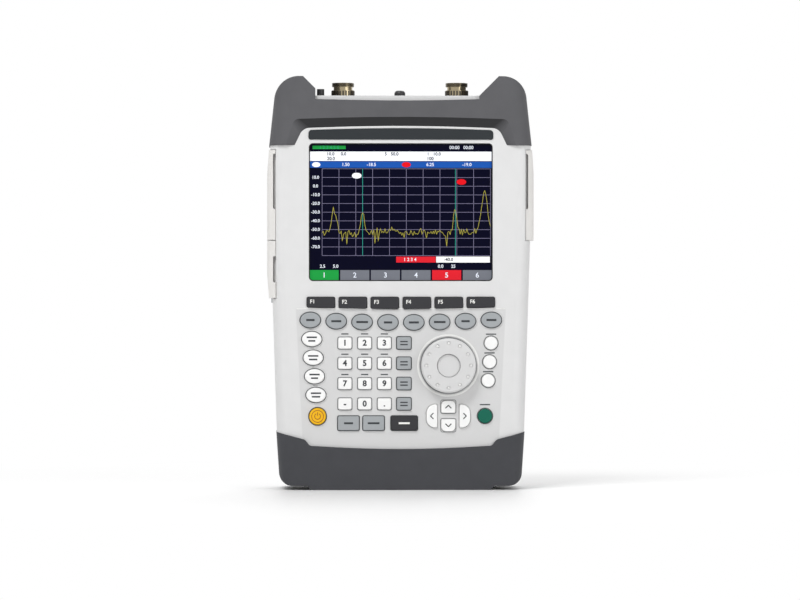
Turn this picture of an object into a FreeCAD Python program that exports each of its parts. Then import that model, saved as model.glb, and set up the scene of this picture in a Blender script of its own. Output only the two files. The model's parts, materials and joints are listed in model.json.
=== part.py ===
import FreeCAD, Part
import math
import os

import Sketcher

# Handheld antenna analyzer, standing upright on its bottom bumper. Lengths are in millimetres.
# X runs to the right, Y from the front panel to the back, Z up. The origin is on the floor,
# under the middle of the whole instrument's box.

doc = FreeCAD.newDocument("antenna_analyzer")
sheet = doc.addObject("Spreadsheet::Sheet", "Sizes")

# Driving dimensions, in groups: alias and value.
DIMENSIONS = [
    # overall envelope
    ("flap_to_flap_width", 194.0),
    ("overall_height", 300.0),
    ("case_depth", 69.0),
    ("knob_stand_off", 7.0),
    # case shells
    ("case_low_width", 178.6),
    ("case_low_level", 20.0),
    ("case_shoulder_width", 188.8),
    ("case_shoulder_level", 180.0),
    ("case_high_width", 190.0),
    ("case_high_level", 275.0),
    ("case_corner", 10.0),
    ("shell_wall", 2.5),
    ("side_wall", 6.0),
    ("rear_wall", 6.0),
    ("front_shell_depth", 43.0),
    ("boss_size", 6.0),
    ("case_boss_size", 7.0),
    ("case_boss_depth", 16.0),
    ("board_boss_size", 4.0),
    ("screw_shank", 3.0),
    ("screw_head", 5.6),
    ("screw_head_height", 2.2),
    ("screw_reach", 30.0),
    ("screw_column", 85.5),
    ("screw_low_level", 127.0),
    ("screw_high_level", 230.0),
    # the narrower ends of the case, inside the bumpers
    ("plug_low_width", 158.0),
    ("plug_high_width", 171.0),
    ("plug_bottom", 6.0),
    ("case_top", 286.0),
    ("plug_rebate", 1.5),
    ("plug_corner", 7.0),
    ("plug_wall", 3.0),
    # bumpers
    ("bumper_proud", 2.0),
    ("bumper_corner", 12.0),
    ("foot_low_width", 175.2),
    ("foot_high_width", 183.0),
    ("foot_high_level", 60.0),
    ("foot_pad_width", 130.0),
    ("foot_pad_height", 2.9),
    ("foot_round", 10.0),
    ("foot_lip_middle", 28.3),
    ("foot_lip_outer", 32.0),
    ("foot_lip_side", 45.0),
    ("foot_step_inner", 66.0),
    ("foot_step_outer", 69.5),
    ("foot_step_height", 36.5),
    ("crown_low_width", 193.2),
    ("crown_high_width", 180.2),
    ("crown_low_level", 240.0),
    ("crown_round", 18.0),
    ("ear_top_width", 142.0),
    ("ear_slope", 14.0),
    ("left_ear_slope", 9.0),
    ("band_top_middle", 281.9),
    ("band_top_outer", 283.3),
    ("band_low_middle", 264.8),
    ("band_low_outer", 262.3),
    ("leg_end", 250.0),
    ("leg_inner_width", 154.0),
    ("leg_corner_width", 142.0),
    ("band_bevel", 6.5),
    # name plate and display
    ("plate_width", 134.0),
    ("plate_bottom", 254.0),
    ("plate_side_top", 260.9),
    ("plate_mid_top", 263.0),
    ("plate_thickness", 1.0),
    ("plate_proud", 0.5),
    ("display_width", 133.4),
    ("display_height", 100.0),
    ("display_bottom", 151.4),
    ("display_corner", 3.0),
    ("window_margin", 3.0),
    ("window_thickness", 1.5),
    ("module_margin", 6.0),
    ("module_thickness", 8.0),
    # keys
    ("key_gap", 0.3),
    ("key_proud", 1.6),
    ("key_flange", 1.0),
    ("key_flange_lip", 0.9),
    ("key_travel", 1.2),
    ("key_edge_round", 0.5),
    ("f_key_width", 20.3),
    ("f_key_pitch", 23.2),
    ("f_key_top", 139.8),
    ("f_key_bottom", 131.1),
    ("f_key_bow", 1.5),
    ("mode_key_width", 14.5),
    ("mode_key_height", 10.9),
    ("mode_key_pitch", 18.75),
    ("mode_key_level", 121.4),
    ("mode_key_bow", 1.8),
    ("menu_key_width", 14.1),
    ("menu_key_height", 10.5),
    ("menu_key_column", 64.6),
    ("menu_key_level", 109.4),
    ("menu_key_pitch", 13.5),
    ("menu_key_lean", 1.0),
    ("power_key_size", 12.0),
    ("power_key_left", 60.4),
    ("power_key_level", 53.4),
    ("digit_key_width", 9.7),
    ("digit_key_height", 8.2),
    ("digit_pitch", 14.3),
    ("digit_row_pitch", 14.7),
    ("digit_column", 40.6),
    ("digit_level", 106.5),
    ("unit_key_width", 10.2),
    ("unit_key_height", 8.7),
    ("unit_key_column", 2.2),
    ("wide_key_height", 10.2),
    ("wide_key_level", 48.4),
    ("back_key_width", 15.3),
    ("back_key_left", 38.0),
    ("cancel_key_left", 19.8),
    ("enter_key_width", 19.0),
    ("enter_key_right", 2.4),
    ("side_key_size", 9.4),
    ("side_key_column", 65.4),
    ("side_key_lean", 1.05),
    ("side_key_level", 106.5),
    ("side_key_pitch", 13.6),
    ("preset_key_size", 10.2),
    ("preset_key_column", 61.0),
    ("cursor_level", 53.6),
    ("cursor_inner", 8.0),
    ("cursor_outer", 15.9),
    ("cursor_height", 17.0),
    ("cursor_cap_width", 10.3),
    ("cursor_cap_inner", 2.2),
    ("cursor_cap_outer", 11.2),
    # keypad behind the panel
    ("mat_thickness", 1.5),
    ("mat_gap", 0.2),
    ("board_gap", 0.5),
    ("board_thickness", 1.6),
    ("keypad_width", 152.0),
    ("keypad_bottom", 39.0),
    ("keypad_top", 144.5),
    ("keypad_boss_inset", 2.9),
    # tuning knob
    ("knob_column", 34.4),
    ("knob_level", 90.2),
    ("knob_size", 39.6),
    ("knob_skirt_gap", 1.1),
    ("knob_push", 0.8),
    ("knob_dish_size", 16.3),
    ("knob_dish_depth", 1.2),
    ("knob_roof", 2.0),
    ("shaft_size", 6.0),
    ("shaft_fit", 0.04),
    ("encoder_size", 15.0),
    ("encoder_depth", 7.5),
    # main board, radio module and battery
    ("main_board_width", 162.0),
    ("main_board_bottom", 52.0),
    ("main_board_top", 218.0),
    ("rf_width", 116.0),
    ("rf_depth", 20.0),
    ("rf_height", 57.0),
    ("battery_width", 146.0),
    ("battery_height", 62.0),
    ("battery_depth", 23.0),
    ("battery_bottom", 50.0),
    ("door_margin", 6.0),
    ("door_screw_column", 60.0),
    ("door_screw_size", 2.4),
    ("door_screw_head", 4.2),
    ("door_thickness", 3.0),
    ("door_gap", 0.3),
    # sockets on top
    ("port_column", 41.6),
    ("port_setback", 30.0),
    ("port_thread", 15.88),
    ("port_neck", 13.8),
    ("port_flange", 16.6),
    ("port_body", 12.0),
    ("port_height", 10.4),
    ("port_head_height", 3.0),
    ("port_flange_height", 5.0),
    ("port_bore", 9.0),
    ("port_contact", 3.2),
    ("gps_size", 8.0),
    ("gps_height", 5.0),
    ("headset_column", 58.0),
    ("headset_size", 5.4),
    ("headset_flange", 7.4),
    ("headset_height", 6.0),
    # side flaps
    ("flap_thickness", 3.2),
    ("flap_gap", 0.3),
    ("flap_front_inset", 6.0),
    ("flap_front_setback", 2.1),
    ("flap_bend_setback", 7.5),
    ("flap_bend_round", 8.0),
    ("flap_top", 246.6),
    ("flap_split", 181.0),
    ("flap_bottom", 139.0),
    ("flap_hinge_setback", 37.0),
    ("flap_pin_inset", 3.8),
    ("flap_pin_size", 2.0),
    ("flap_barrel_size", 4.4),
    ("pin_fit", 0.05),
    ("pin_seat", 3.0),
    ("flap_taper_length", 18.0),
    ("flap_taper", 1.4),
    ("finger_notch_height", 40.0),
    ("small_notch_height", 19.0),
    ("finger_notch_depth", 1.6),
    # sockets behind the flaps
    ("bay_width", 20.0),
    ("bay_height", 24.0),
    ("bay_setback", 20.0),
    ("socket_recess", 3.0),
    ("usb_width", 13.2),
    ("usb_height", 5.8),
    ("usb_mouth_width", 12.0),
    ("usb_mouth_height", 4.6),
    ("usb_depth", 14.0),
    ("usb_mouth_depth", 9.0),
    ("mini_width", 8.0),
    ("mini_height", 5.4),
    ("mini_mouth_width", 6.9),
    ("mini_mouth_height", 4.3),
    ("power_body", 11.0),
    ("power_mouth", 6.0),
    ("power_pin", 1.6),
    # tilt stand on the back
    ("stand_width", 100.0),
    ("stand_height", 104.0),
    ("stand_thickness", 3.6),
    ("stand_hinge_level", 236.0),
    ("stand_recess", 4.1),
    ("stand_gap", 0.35),
    ("stand_pin_size", 2.0),
    ("stand_pin_seat", 4.0),
    ("stand_scoop", 12.0),
]

for row, (alias, value) in enumerate(DIMENSIONS, start=1):
    sheet.set(f"A{row}", alias.replace("_", " "))
    sheet.set(f"B{row}", str(value))
    sheet.setAlias(f"B{row}", alias)
doc.recompute()


class Size:
    """A length that holds its number and the sheet expression that it comes from."""

    def __init__(self, text, number):
        self.text = text
        self.number = number

    def __add__(self, other):
        other = sized(other)
        return Size(f"({self.text} + {other.text})", self.number + other.number)

    def __radd__(self, other):
        return sized(other) + self

    def __sub__(self, other):
        other = sized(other)
        return Size(f"({self.text} - {other.text})", self.number - other.number)

    def __rsub__(self, other):
        return sized(other) - self

    def __mul__(self, other):
        other = sized(other)
        return Size(f"({self.text} * {other.text})", self.number * other.number)

    def __rmul__(self, other):
        return sized(other) * self

    def __truediv__(self, other):
        other = sized(other)
        return Size(f"({self.text} / {other.text})", self.number / other.number)

    def __neg__(self):
        return Size(f"(-{self.text})", -self.number)

    def magnitude(self):
        """The length without its sign."""
        return Size(f"abs({self.text})", abs(self.number))


def sized(value):
    """A plain number as a Size, so that both can be added and multiplied."""
    if isinstance(value, Size):
        return value
    return Size(repr(value), float(value))


def greater(first, second):
    """The larger of two lengths."""
    first, second = sized(first), sized(second)
    return Size(f"max({first.text}; {second.text})", max(first.number, second.number))


def size(alias):
    """The sheet's value with this alias."""
    return Size("Sizes." + alias, float(sheet.get(alias)))


def bind(thing, path, value):
    """Set a property to a size's number and keep it bound to the sheet."""
    thing.setExpression(path, sized(value).text)


class Disc:
    """A round outline in a sketch: its centre and radius."""

    def __init__(self, x, y, radius):
        self.x = sized(x)
        self.y = sized(y)
        self.radius = sized(radius)


def hold(sketch, rules):
    """Add constraints in one go; a rule with a value is bound to it."""
    numbers = sketch.addConstraint([rule for rule, value in rules])
    for number, (rule, value) in zip(numbers, rules):
        if value is not None:
            bind(sketch, f"Constraints[{number}]", value)


def at_place(shape, end, x, y):
    """The two rules that hold a point of a sketch at a place."""
    return [
        (Sketcher.Constraint("DistanceX", -1, 1, shape, end, x.number), x),
        (Sketcher.Constraint("DistanceY", -1, 1, shape, end, y.number), y),
    ]


def draw_disc(sketch, disc):
    """Add one circle, bound to its centre and radius."""
    centre = FreeCAD.Vector(disc.x.number, disc.y.number, 0)
    circle = sketch.addGeometry(Part.Circle(centre, FreeCAD.Vector(0, 0, 1), disc.radius.number))
    radius = (Sketcher.Constraint("Radius", circle, disc.radius.number), disc.radius)
    hold(sketch, at_place(circle, 3, disc.x, disc.y) + [radius])


def corner_arc(before, corner, after, radius):
    """The arc that rounds a corner, with the points where it meets the two straight sides."""
    back = (before - corner).normalize()
    ahead = (after - corner).normalize()
    half = back.getAngle(ahead) / 2
    reach = radius / math.tan(half)
    start = corner + back * reach
    end = corner + ahead * reach
    centre = corner + (back + ahead).normalize() * (radius / math.sin(half))
    middle = centre + (corner - centre).normalize() * radius
    return start, middle, end


def draw_outline(sketch, corners):
    """Add one closed outline of straight sides; a corner with a third value is rounded by it."""
    corners = [tuple(sized(value) for value in corner) for corner in corners]
    count = len(corners)
    places = [FreeCAD.Vector(corner[0].number, corner[1].number, 0) for corner in corners]
    starts, ends, arcs = [], [], []
    for index, corner in enumerate(corners):
        place = places[index]
        if len(corner) == 3:
            arc = corner_arc(places[index - 1], place, places[(index + 1) % count], corner[2].number)
            ends.append(arc[0])
            starts.append(arc[2])
            arcs.append(arc)
        else:
            ends.append(place)
            starts.append(place)
            arcs.append(None)
    sides = []
    for index in range(count):
        sides.append(sketch.addGeometry(Part.LineSegment(starts[index], ends[(index + 1) % count])))
    rules = []
    for index, corner in enumerate(corners):
        before, after = sides[index - 1], sides[index]
        if arcs[index] is None:
            rules.append((Sketcher.Constraint("Coincident", before, 2, after, 1), None))
            rules += at_place(after, 1, corner[0], corner[1])
            continue
        arc = sketch.addGeometry(Part.Arc(*arcs[index]))
        first = arc_starts_at(sketch, arc, arcs[index][0])
        tip = sketch.addGeometry(Part.Point(places[index]), True)
        rules.append((Sketcher.Constraint("Tangent", before, 2, arc, 1 if first else 2), None))
        rules.append((Sketcher.Constraint("Tangent", arc, 2 if first else 1, after, 1), None))
        rules.append((Sketcher.Constraint("Radius", arc, corner[2].number), corner[2]))
        rules += at_place(tip, 1, corner[0], corner[1])
        rules.append((Sketcher.Constraint("PointOnObject", tip, 1, before), None))
        rules.append((Sketcher.Constraint("PointOnObject", tip, 1, after), None))
    hold(sketch, rules)


def arc_starts_at(sketch, arc, place):
    """Whether a sketch's arc, which always runs anticlockwise, starts at this place."""
    return sketch.getPoint(arc, 1).distanceToPoint(place) < sketch.getPoint(arc, 2).distanceToPoint(place)


class Piece:
    """One named piece of the instrument: a body whose features are bound to the sheet."""

    made = []

    def __init__(self, name):
        self.name = name
        self.body = doc.addObject("PartDesign::Body", name)
        self.body.Label = name
        self.body.AllowCompound = True
        self.count = 0
        Piece.made.append(self)

    def place(self, x, y, z):
        """Put the finished piece where it belongs on the instrument."""
        for axis, value in (("x", x), ("y", y), ("z", z)):
            bind(self.body, f".Placement.Base.{axis}", value)

    def feature(self, kind, word):
        """A new feature of the body, named for the piece."""
        self.count += 1
        return self.body.newObject(kind, f"{self.name}_{word}_{self.count}")

    def sketch(self, role, level, outlines):
        """A sketch on the body's own plane, moved along the plane's normal."""
        sketch = self.feature("Sketcher::SketchObject", "outline")
        planes = [item for item in self.body.Origin.OriginFeatures if item.Role == role]
        sketch.AttachmentSupport = [(planes[0], "")]
        sketch.MapMode = "FlatFace"
        bind(sketch, "AttachmentOffset.Base.z", level)
        for outline in outlines:
            if isinstance(outline, Disc):
                draw_disc(sketch, outline)
            else:
                draw_outline(sketch, outline)
        return sketch

    def prism(self, kind, role, level, length, outlines, turned):
        """Extrude outlines from a level over a length; discs share one sketch, others have their own."""
        groups = [[outline] for outline in outlines if not isinstance(outline, Disc)]
        discs = [outline for outline in outlines if isinstance(outline, Disc)]
        if discs:
            groups.append(discs)
        for group in groups:
            profile = self.sketch(role, level, group)
            result = self.feature(kind, kind.split("::")[1].lower())
            result.Profile = profile
            result.Reversed = turned
            bind(result, "Length", length)

    def front_pad(self, y0, y1, *outlines):
        """Material with this front-view outline, from y0 back to y1."""
        self.prism("PartDesign::Pad", "XZ_Plane", -sized(y0), sized(y1) - y0, outlines, True)

    def front_cut(self, y0, y1, *outlines):
        """A cut with this front-view outline, from y0 back to y1."""
        self.prism("PartDesign::Pocket", "XZ_Plane", -sized(y0), sized(y1) - y0, outlines, False)

    def plan_pad(self, z0, z1, *outlines):
        """Material with this outline seen from above, from z0 up to z1."""
        self.prism("PartDesign::Pad", "XY_Plane", sized(z0), sized(z1) - z0, outlines, False)

    def plan_cut(self, z0, z1, *outlines):
        """A cut with this outline seen from above, from z0 up to z1."""
        self.prism("PartDesign::Pocket", "XY_Plane", sized(z0), sized(z1) - z0, outlines, True)

    def side_pad(self, x0, x1, *outlines):
        """Material with this outline seen from the side, from x0 to x1."""
        self.prism("PartDesign::Pad", "YZ_Plane", sized(x0), sized(x1) - x0, outlines, False)

    def side_cut(self, x0, x1, *outlines):
        """A cut with this outline seen from the side, from x0 to x1."""
        self.prism("PartDesign::Pocket", "YZ_Plane", sized(x0), sized(x1) - x0, outlines, True)

    def loft(self, kind, role, sections):
        """Straight-sided material or cut through outlines at different levels."""
        drawn = [self.sketch(role, level, [outline]) for level, outline in sections]
        result = self.feature(kind, "loft")
        result.Profile = drawn[0]
        result.Sections = drawn[1:]
        result.Ruled = True

    def box(self, x0, x1, y0, y1, z0, z1, cut=False):
        """A rectangular block of material, or one cut away."""
        kind = "PartDesign::SubtractiveBox" if cut else "PartDesign::AdditiveBox"
        block = self.feature(kind, "block")
        low = [sized(value) for value in (x0, y0, z0)]
        high = [sized(value) for value in (x1, y1, z1)]
        for name, axis, start, end in zip(("Length", "Width", "Height"), "xyz", low, high):
            bind(block, name, end - start)
            bind(block, f".Placement.Base.{axis}", start)

    def soften(self, radius, chosen):
        """Round the edges that the chooser picks."""
        doc.recompute()
        edges = [f"Edge{number}" for number, edge in enumerate(self.body.Shape.Edges, start=1) if chosen(edge)]
        rounding = self.feature("PartDesign::Fillet", "round")
        rounding.Base = (self.body.Group[-2], edges)
        bind(rounding, "Radius", radius)


class Casting:
    """One thin-walled moulding with many openings, cut from its solid in a single step."""

    TURNS = {
        "XY_Plane": FreeCAD.Rotation(),
        "XZ_Plane": FreeCAD.Rotation(FreeCAD.Vector(1, 0, 0), 90),
        "YZ_Plane": FreeCAD.Rotation(FreeCAD.Vector(1, 1, 1), 120),
    }

    def __init__(self, name):
        self.name = name
        self.body = doc.addObject("Part::Feature", name)
        self.body.Label = name
        self.added = []
        self.removed = []
        Piece.made.append(self)

    def wire(self, role, level, outline):
        """An outline as a closed wire on one of the three planes, moved along its normal."""
        if isinstance(outline, Disc):
            centre = FreeCAD.Vector(outline.x.number, outline.y.number, 0)
            edges = [Part.makeCircle(outline.radius.number, centre)]
        else:
            edges = outline_edges(outline)
        wire = Part.Wire(edges)
        turn = self.TURNS[role]
        shift = turn.multVec(FreeCAD.Vector(0, 0, sized(level).number))
        wire.Placement = FreeCAD.Placement(shift, turn)
        return wire

    def prisms(self, role, low, high, outlines):
        """Solids between two levels along a plane's normal."""
        way = self.TURNS[role].multVec(FreeCAD.Vector(0, 0, (sized(high) - low).number))
        return [Part.Face(self.wire(role, low, outline)).extrude(way) for outline in outlines]

    def cut_now(self):
        """Take away what has been marked for removal so far."""
        if self.removed:
            self.body.Shape = self.body.Shape.cut(self.removed)
            self.removed = []

    def add(self, solids):
        """Join solids to the moulding."""
        self.cut_now()
        if self.body.Shape.isNull():
            self.body.Shape = solids[0]
            solids = solids[1:]
        if solids:
            self.body.Shape = self.body.Shape.fuse(solids)

    def front_pad(self, y0, y1, *outlines):
        """Material with this front-view outline, from y0 back to y1."""
        self.add(self.prisms("XZ_Plane", -sized(y0), -sized(y1), outlines))

    def front_cut(self, y0, y1, *outlines):
        """A cut with this front-view outline, from y0 back to y1."""
        self.removed += self.prisms("XZ_Plane", -sized(y0), -sized(y1), outlines)

    def plan_cut(self, z0, z1, *outlines):
        """A cut with this outline seen from above, from z0 up to z1."""
        self.removed += self.prisms("XY_Plane", z0, z1, outlines)

    def side_cut(self, x0, x1, *outlines):
        """A cut with this outline seen from the side, from x0 to x1."""
        self.removed += self.prisms("YZ_Plane", x0, x1, outlines)

    def loft(self, sections):
        """Material through outlines seen from above at different levels."""
        wires = [self.wire("XY_Plane", level, outline) for level, outline in sections]
        self.add([Part.makeLoft(wires, True, True)])

    def block_cut(self, x0, x1, y0, y1, z0, z1):
        """Cut away a rectangular block."""
        low = FreeCAD.Vector(*[sized(value).number for value in (x0, y0, z0)])
        high = FreeCAD.Vector(*[sized(value).number for value in (x1, y1, z1)])
        reach = high - low
        self.removed.append(Part.makeBox(reach.x, reach.y, reach.z, low))

    def finish(self):
        """Make the last cuts and merge faces that lie in one plane."""
        self.cut_now()
        self.body.Shape = self.body.Shape.removeSplitter()


def outline_edges(outline):
    """The straight sides and corner arcs of an outline."""
    corners = [tuple(sized(value).number for value in corner) for corner in outline]
    places = [FreeCAD.Vector(corner[0], corner[1], 0) for corner in corners]
    count = len(corners)
    starts, ends, edges = [], [], []
    for index, corner in enumerate(corners):
        if len(corner) == 3:
            arc = corner_arc(places[index - 1], places[index], places[(index + 1) % count], corner[2])
            edges.append(Part.Arc(*arc).toShape())
            ends.append(arc[0])
            starts.append(arc[2])
        else:
            ends.append(places[index])
            starts.append(places[index])
    for index in range(count):
        start, end = starts[index], ends[(index + 1) % count]
        if start.distanceToPoint(end) > 0.0001:
            edges.append(Part.LineSegment(start, end).toShape())
    return Part.__sortEdges__(edges)


def rounded(x0, x1, z0, z1, radius):
    """A rectangle with four equal round corners."""
    return [(x0, z0, radius), (x1, z0, radius), (x1, z1, radius), (x0, z1, radius)]


def both_sides(half):
    """A whole outline from its right half, which runs from the bottom middle to the top middle."""
    other = []
    for corner in reversed(half):
        if sized(corner[0]).number > 0:
            other.append((-sized(corner[0]),) + tuple(corner[1:]))
    return list(half) + other


# Levels from front to back, which all pieces share
TOTAL_DEPTH = size("case_depth") + size("knob_stand_off")
KNOB_FRONT = -TOTAL_DEPTH / 2
BUMPER_FRONT = KNOB_FRONT + size("knob_stand_off")
BUMPER_BACK = BUMPER_FRONT + size("case_depth")
PANEL = BUMPER_FRONT + size("bumper_proud")
REAR = BUMPER_BACK - size("bumper_proud")
SPLIT = PANEL + size("front_shell_depth")
PANEL_BACK = PANEL + size("shell_wall")
REAR_INSIDE = REAR - size("rear_wall")
PLUG_FRONT = PANEL + size("plug_rebate")
PLUG_BACK = REAR - size("plug_rebate")
KEY_BACK = PANEL_BACK + size("key_flange")
MAT_FRONT = KEY_BACK + size("key_travel") + size("mat_gap")
BOARD_FRONT = MAT_FRONT + size("mat_thickness")
BOARD_BACK = BOARD_FRONT + size("board_thickness")
WINDOW_BACK = PANEL_BACK + size("window_thickness")
MODULE_BACK = WINDOW_BACK + size("module_thickness")
MAIN_FRONT = greater(MODULE_BACK, BOARD_BACK + size("encoder_depth")) + size("board_gap")
MAIN_BACK = MAIN_FRONT + size("board_thickness")
PORT_Y = PANEL + size("port_setback")
FAR = 200.0


def plan_section(width, y0, y1, corner):
    """A case section seen from above."""
    return rounded(-width / 2, width / 2, y0, y1, corner)


def plug_sections():
    """The narrower ends of the case, which the bumpers grip."""
    corner = size("plug_corner")
    return [
        (size("plug_bottom"), plan_section(size("plug_low_width"), PLUG_FRONT, PLUG_BACK, corner)),
        (size("case_top"), plan_section(size("plug_high_width"), PLUG_FRONT, PLUG_BACK, corner)),
    ]


def between(low, high, low_level, high_level, level):
    """The half width at a level of a side that runs straight from one width to another."""
    share = (sized(level) - low_level) / (high_level - low_level)
    return (low + (high - low) * share) / 2


def bow_radius(half_chord, rise):
    """A radius that rounds most of a shallow corner in the middle of a long line."""
    return half_chord * half_chord / (rise.magnitude() + 0.01) * 0.7


OUTSIDE = size("flap_to_flap_width") / 2 + 5.0


def foot_seam():
    """Half of the line where the bottom bumper meets the case, from the side to the middle."""
    rise = size("foot_lip_outer") - size("foot_lip_middle")
    return [
        (OUTSIDE, size("foot_lip_side")),
        (size("foot_step_outer"), size("foot_step_height"), 5.0),
        (size("foot_step_inner"), size("foot_lip_outer"), 3.0),
        (0.0, size("foot_lip_middle"), bow_radius(size("foot_step_inner"), rise)),
    ]


def crown_seam(rise=0.0, outset=0.0, inner_round=8.0):
    """Half of the line where the top bumper meets the case, from the middle to the leg."""
    corner = size("leg_corner_width") / 2 + outset
    drop = size("band_low_middle") - size("band_low_outer")
    return [
        (0.0, size("band_low_middle") + rise, bow_radius(corner, drop)),
        (corner, size("band_low_outer") + rise, inner_round),
        (size("leg_inner_width") / 2 + outset, size("leg_end")),
    ]


def below_foot_seam():
    """The region that the bottom bumper takes from the case."""
    return both_sides([(OUTSIDE, -FAR)] + foot_seam())


def above_foot_seam():
    """The region that the case takes from the bottom bumper."""
    return both_sides(list(reversed(foot_seam())) + [(OUTSIDE, FAR)])


def above_crown_seam():
    """The region that the top bumper takes from the case."""
    return both_sides(crown_seam() + [(OUTSIDE, size("leg_end")), (OUTSIDE, FAR * 2)])


def below_crown_seam(rise=0.0, outset=0.0, inner_round=8.0):
    """The region that the case takes from the top bumper."""
    line = list(reversed(crown_seam(rise, outset, inner_round)))
    return both_sides([(OUTSIDE, 0.0), (OUTSIDE, size("leg_end"))] + line)


def flipped(outline):
    """The same outline on the other side of the middle."""
    return [(-sized(corner[0]),) + tuple(corner[1:]) for corner in reversed(outline)]


# Key outlines in the front view, each grown by a clearance or a lip

def oval(x, z, width, height, grow):
    """A key with fully rounded ends."""
    radius = sized(height) / 2 * 0.94 + grow
    return rounded(x - width / 2 - grow, x + width / 2 + grow, z - height / 2 - grow, z + height / 2 + grow, radius)


def soft_key(x, z, width, height, grow):
    """A rectangular key with small round corners."""
    radius = 1.2 + sized(grow)
    return rounded(x - width / 2 - grow, x + width / 2 + grow, z - height / 2 - grow, z + height / 2 + grow, radius)


def f_key(index, grow):
    """One of the six keys under the display; their lower edges follow a shallow bow."""
    pitch = size("f_key_pitch")
    middle = pitch * (index - 2.5)
    left = middle - size("f_key_width") / 2
    right = middle + size("f_key_width") / 2
    top = size("f_key_top") + grow
    radius = 1.2 + sized(grow)
    lows = []
    for edge in (left, right):
        share = edge / (pitch * 3)
        lows.append(size("f_key_bottom") + size("f_key_bow") * share * share - grow)
    return [(left - grow, lows[0], radius), (right + grow, lows[1], radius),
            (right + grow, top, radius), (left - grow, top, radius)]


def cursor_side(turn, grow):
    """The left or right key of the cursor ring, with a bowed outer side."""
    x, z = size("knob_column"), size("cursor_level")
    half = size("cursor_height") / 2 + grow
    inner = size("cursor_inner") - grow
    outer = size("cursor_outer") + grow
    small = 1.2 + sized(grow)
    large = (size("cursor_outer") - size("cursor_inner")) * 0.8 + grow
    shape = [(x + inner, z - half, small), (x + outer, z - half, large),
             (x + outer, z + half, large), (x + inner, z + half, small)]
    if turn > 0:
        return shape
    return [(x * 2 - corner[0],) + corner[1:] for corner in reversed(shape)]


def cursor_cap(turn, grow):
    """The upper or lower key of the cursor ring."""
    x, z = size("knob_column"), size("cursor_level")
    half = size("cursor_cap_width") / 2 + grow
    inner = z + (size("cursor_cap_inner") - grow) * turn
    outer = z + (size("cursor_cap_outer") + grow) * turn
    small = 1.0 + sized(grow)
    large = 3.4 + sized(grow)
    return [(x - half, inner, small), (x + half, inner, small), (x + half, outer, large), (x - half, outer, large)]


def key_outlines(grow):
    """Every key's outlines by name."""
    keys = {}
    for index in range(6):
        keys[f"function_key_{index + 1}"] = [f_key(index, grow)]
    for index in range(8):
        offset = index - 3.5
        share = offset / 3.5
        level = size("mode_key_level") + size("mode_key_bow") * (share * share)
        column = size("mode_key_pitch") * offset
        keys[f"mode_key_{index + 1}"] = [oval(column, level, size("mode_key_width"), size("mode_key_height"), grow)]
    for index in range(4):
        column = size("menu_key_lean") * index - size("menu_key_column")
        level = size("menu_key_level") - size("menu_key_pitch") * index
        keys[f"menu_key_{index + 1}"] = [oval(column, level, size("menu_key_width"), size("menu_key_height"), grow)]
    digits = []
    units = []
    for row in range(4):
        level = size("digit_level") - size("digit_row_pitch") * row
        for column in range(3):
            place = size("digit_pitch") * column - size("digit_column")
            digits.append(soft_key(place, level, size("digit_key_width"), size("digit_key_height"), grow))
        units.append(soft_key(size("unit_key_column"), level, size("unit_key_width"), size("unit_key_height"), grow))
    keys["digit_keys"] = digits
    keys["unit_keys"] = units
    level = size("wide_key_level")
    height = size("wide_key_height")
    keys["back_key"] = [soft_key(-size("back_key_left"), level, size("back_key_width"), height, grow)]
    keys["cancel_key"] = [soft_key(-size("cancel_key_left"), level, size("back_key_width"), height, grow)]
    keys["enter_key"] = [soft_key(size("enter_key_right"), level, size("enter_key_width"), height, grow)]
    for index in range(3):
        column = size("side_key_column") - size("side_key_lean") * index
        level = size("side_key_level") - size("side_key_pitch") * index
        keys[f"side_key_{index + 1}"] = [Disc(column, level, size("side_key_size") / 2 + grow)]
    keys["preset_key"] = [Disc(size("preset_key_column"), size("cursor_level"), size("preset_key_size") / 2 + grow)]
    keys["power_key"] = [Disc(-size("power_key_left"), size("power_key_level"), size("power_key_size") / 2 + grow)]
    keys["left_key"] = [cursor_side(-1, grow)]
    keys["right_key"] = [cursor_side(1, grow)]
    keys["up_key"] = [cursor_cap(1, grow)]
    keys["down_key"] = [cursor_cap(-1, grow)]
    return keys


def make_keys():
    """Keys that pass through the panel and are held behind it by a flange."""
    caps = key_outlines(0.0)
    flanges = key_outlines(size("key_flange_lip"))
    for name, outlines in caps.items():
        key = Piece(name)
        front = PANEL - size("key_proud")
        key.front_pad(front, PANEL_BACK, *outlines)
        key.front_pad(PANEL_BACK, KEY_BACK, *flanges[name])
        key.soften(size("key_edge_round"), lambda edge: abs(edge.BoundBox.YMax - front.number) < 0.001)


# Side flaps and the recesses that they close

FLAP_SIDE = size("flap_to_flap_width") / 2
HINGE_Y = PANEL + size("flap_hinge_setback")
PIN_X = FLAP_SIDE - size("flap_pin_inset")


def flap_inner(clear):
    """A flap's inner face from its front edge back to the hinge, with a clearance."""
    wall = size("flap_thickness")
    front_x = FLAP_SIDE - size("flap_front_inset") - clear
    front_y = PANEL + size("flap_front_setback") - clear
    inner = FLAP_SIDE - wall - clear
    return [
        (front_x - wall * 0.4, front_y + wall * 0.8),
        (inner, PANEL + size("flap_bend_setback") + wall * 0.45, size("flap_bend_round") - wall),
        (inner, HINGE_Y),
    ]


def flap_section(side):
    """A flap seen from above: a strip that bends round the case's front corner."""
    shape = [
        (FLAP_SIDE, HINGE_Y),
        (FLAP_SIDE, PANEL + size("flap_bend_setback"), size("flap_bend_round")),
        (FLAP_SIDE - size("flap_front_inset"), PANEL + size("flap_front_setback")),
    ] + flap_inner(0.0)
    return shape if side > 0 else flipped(shape)


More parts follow.
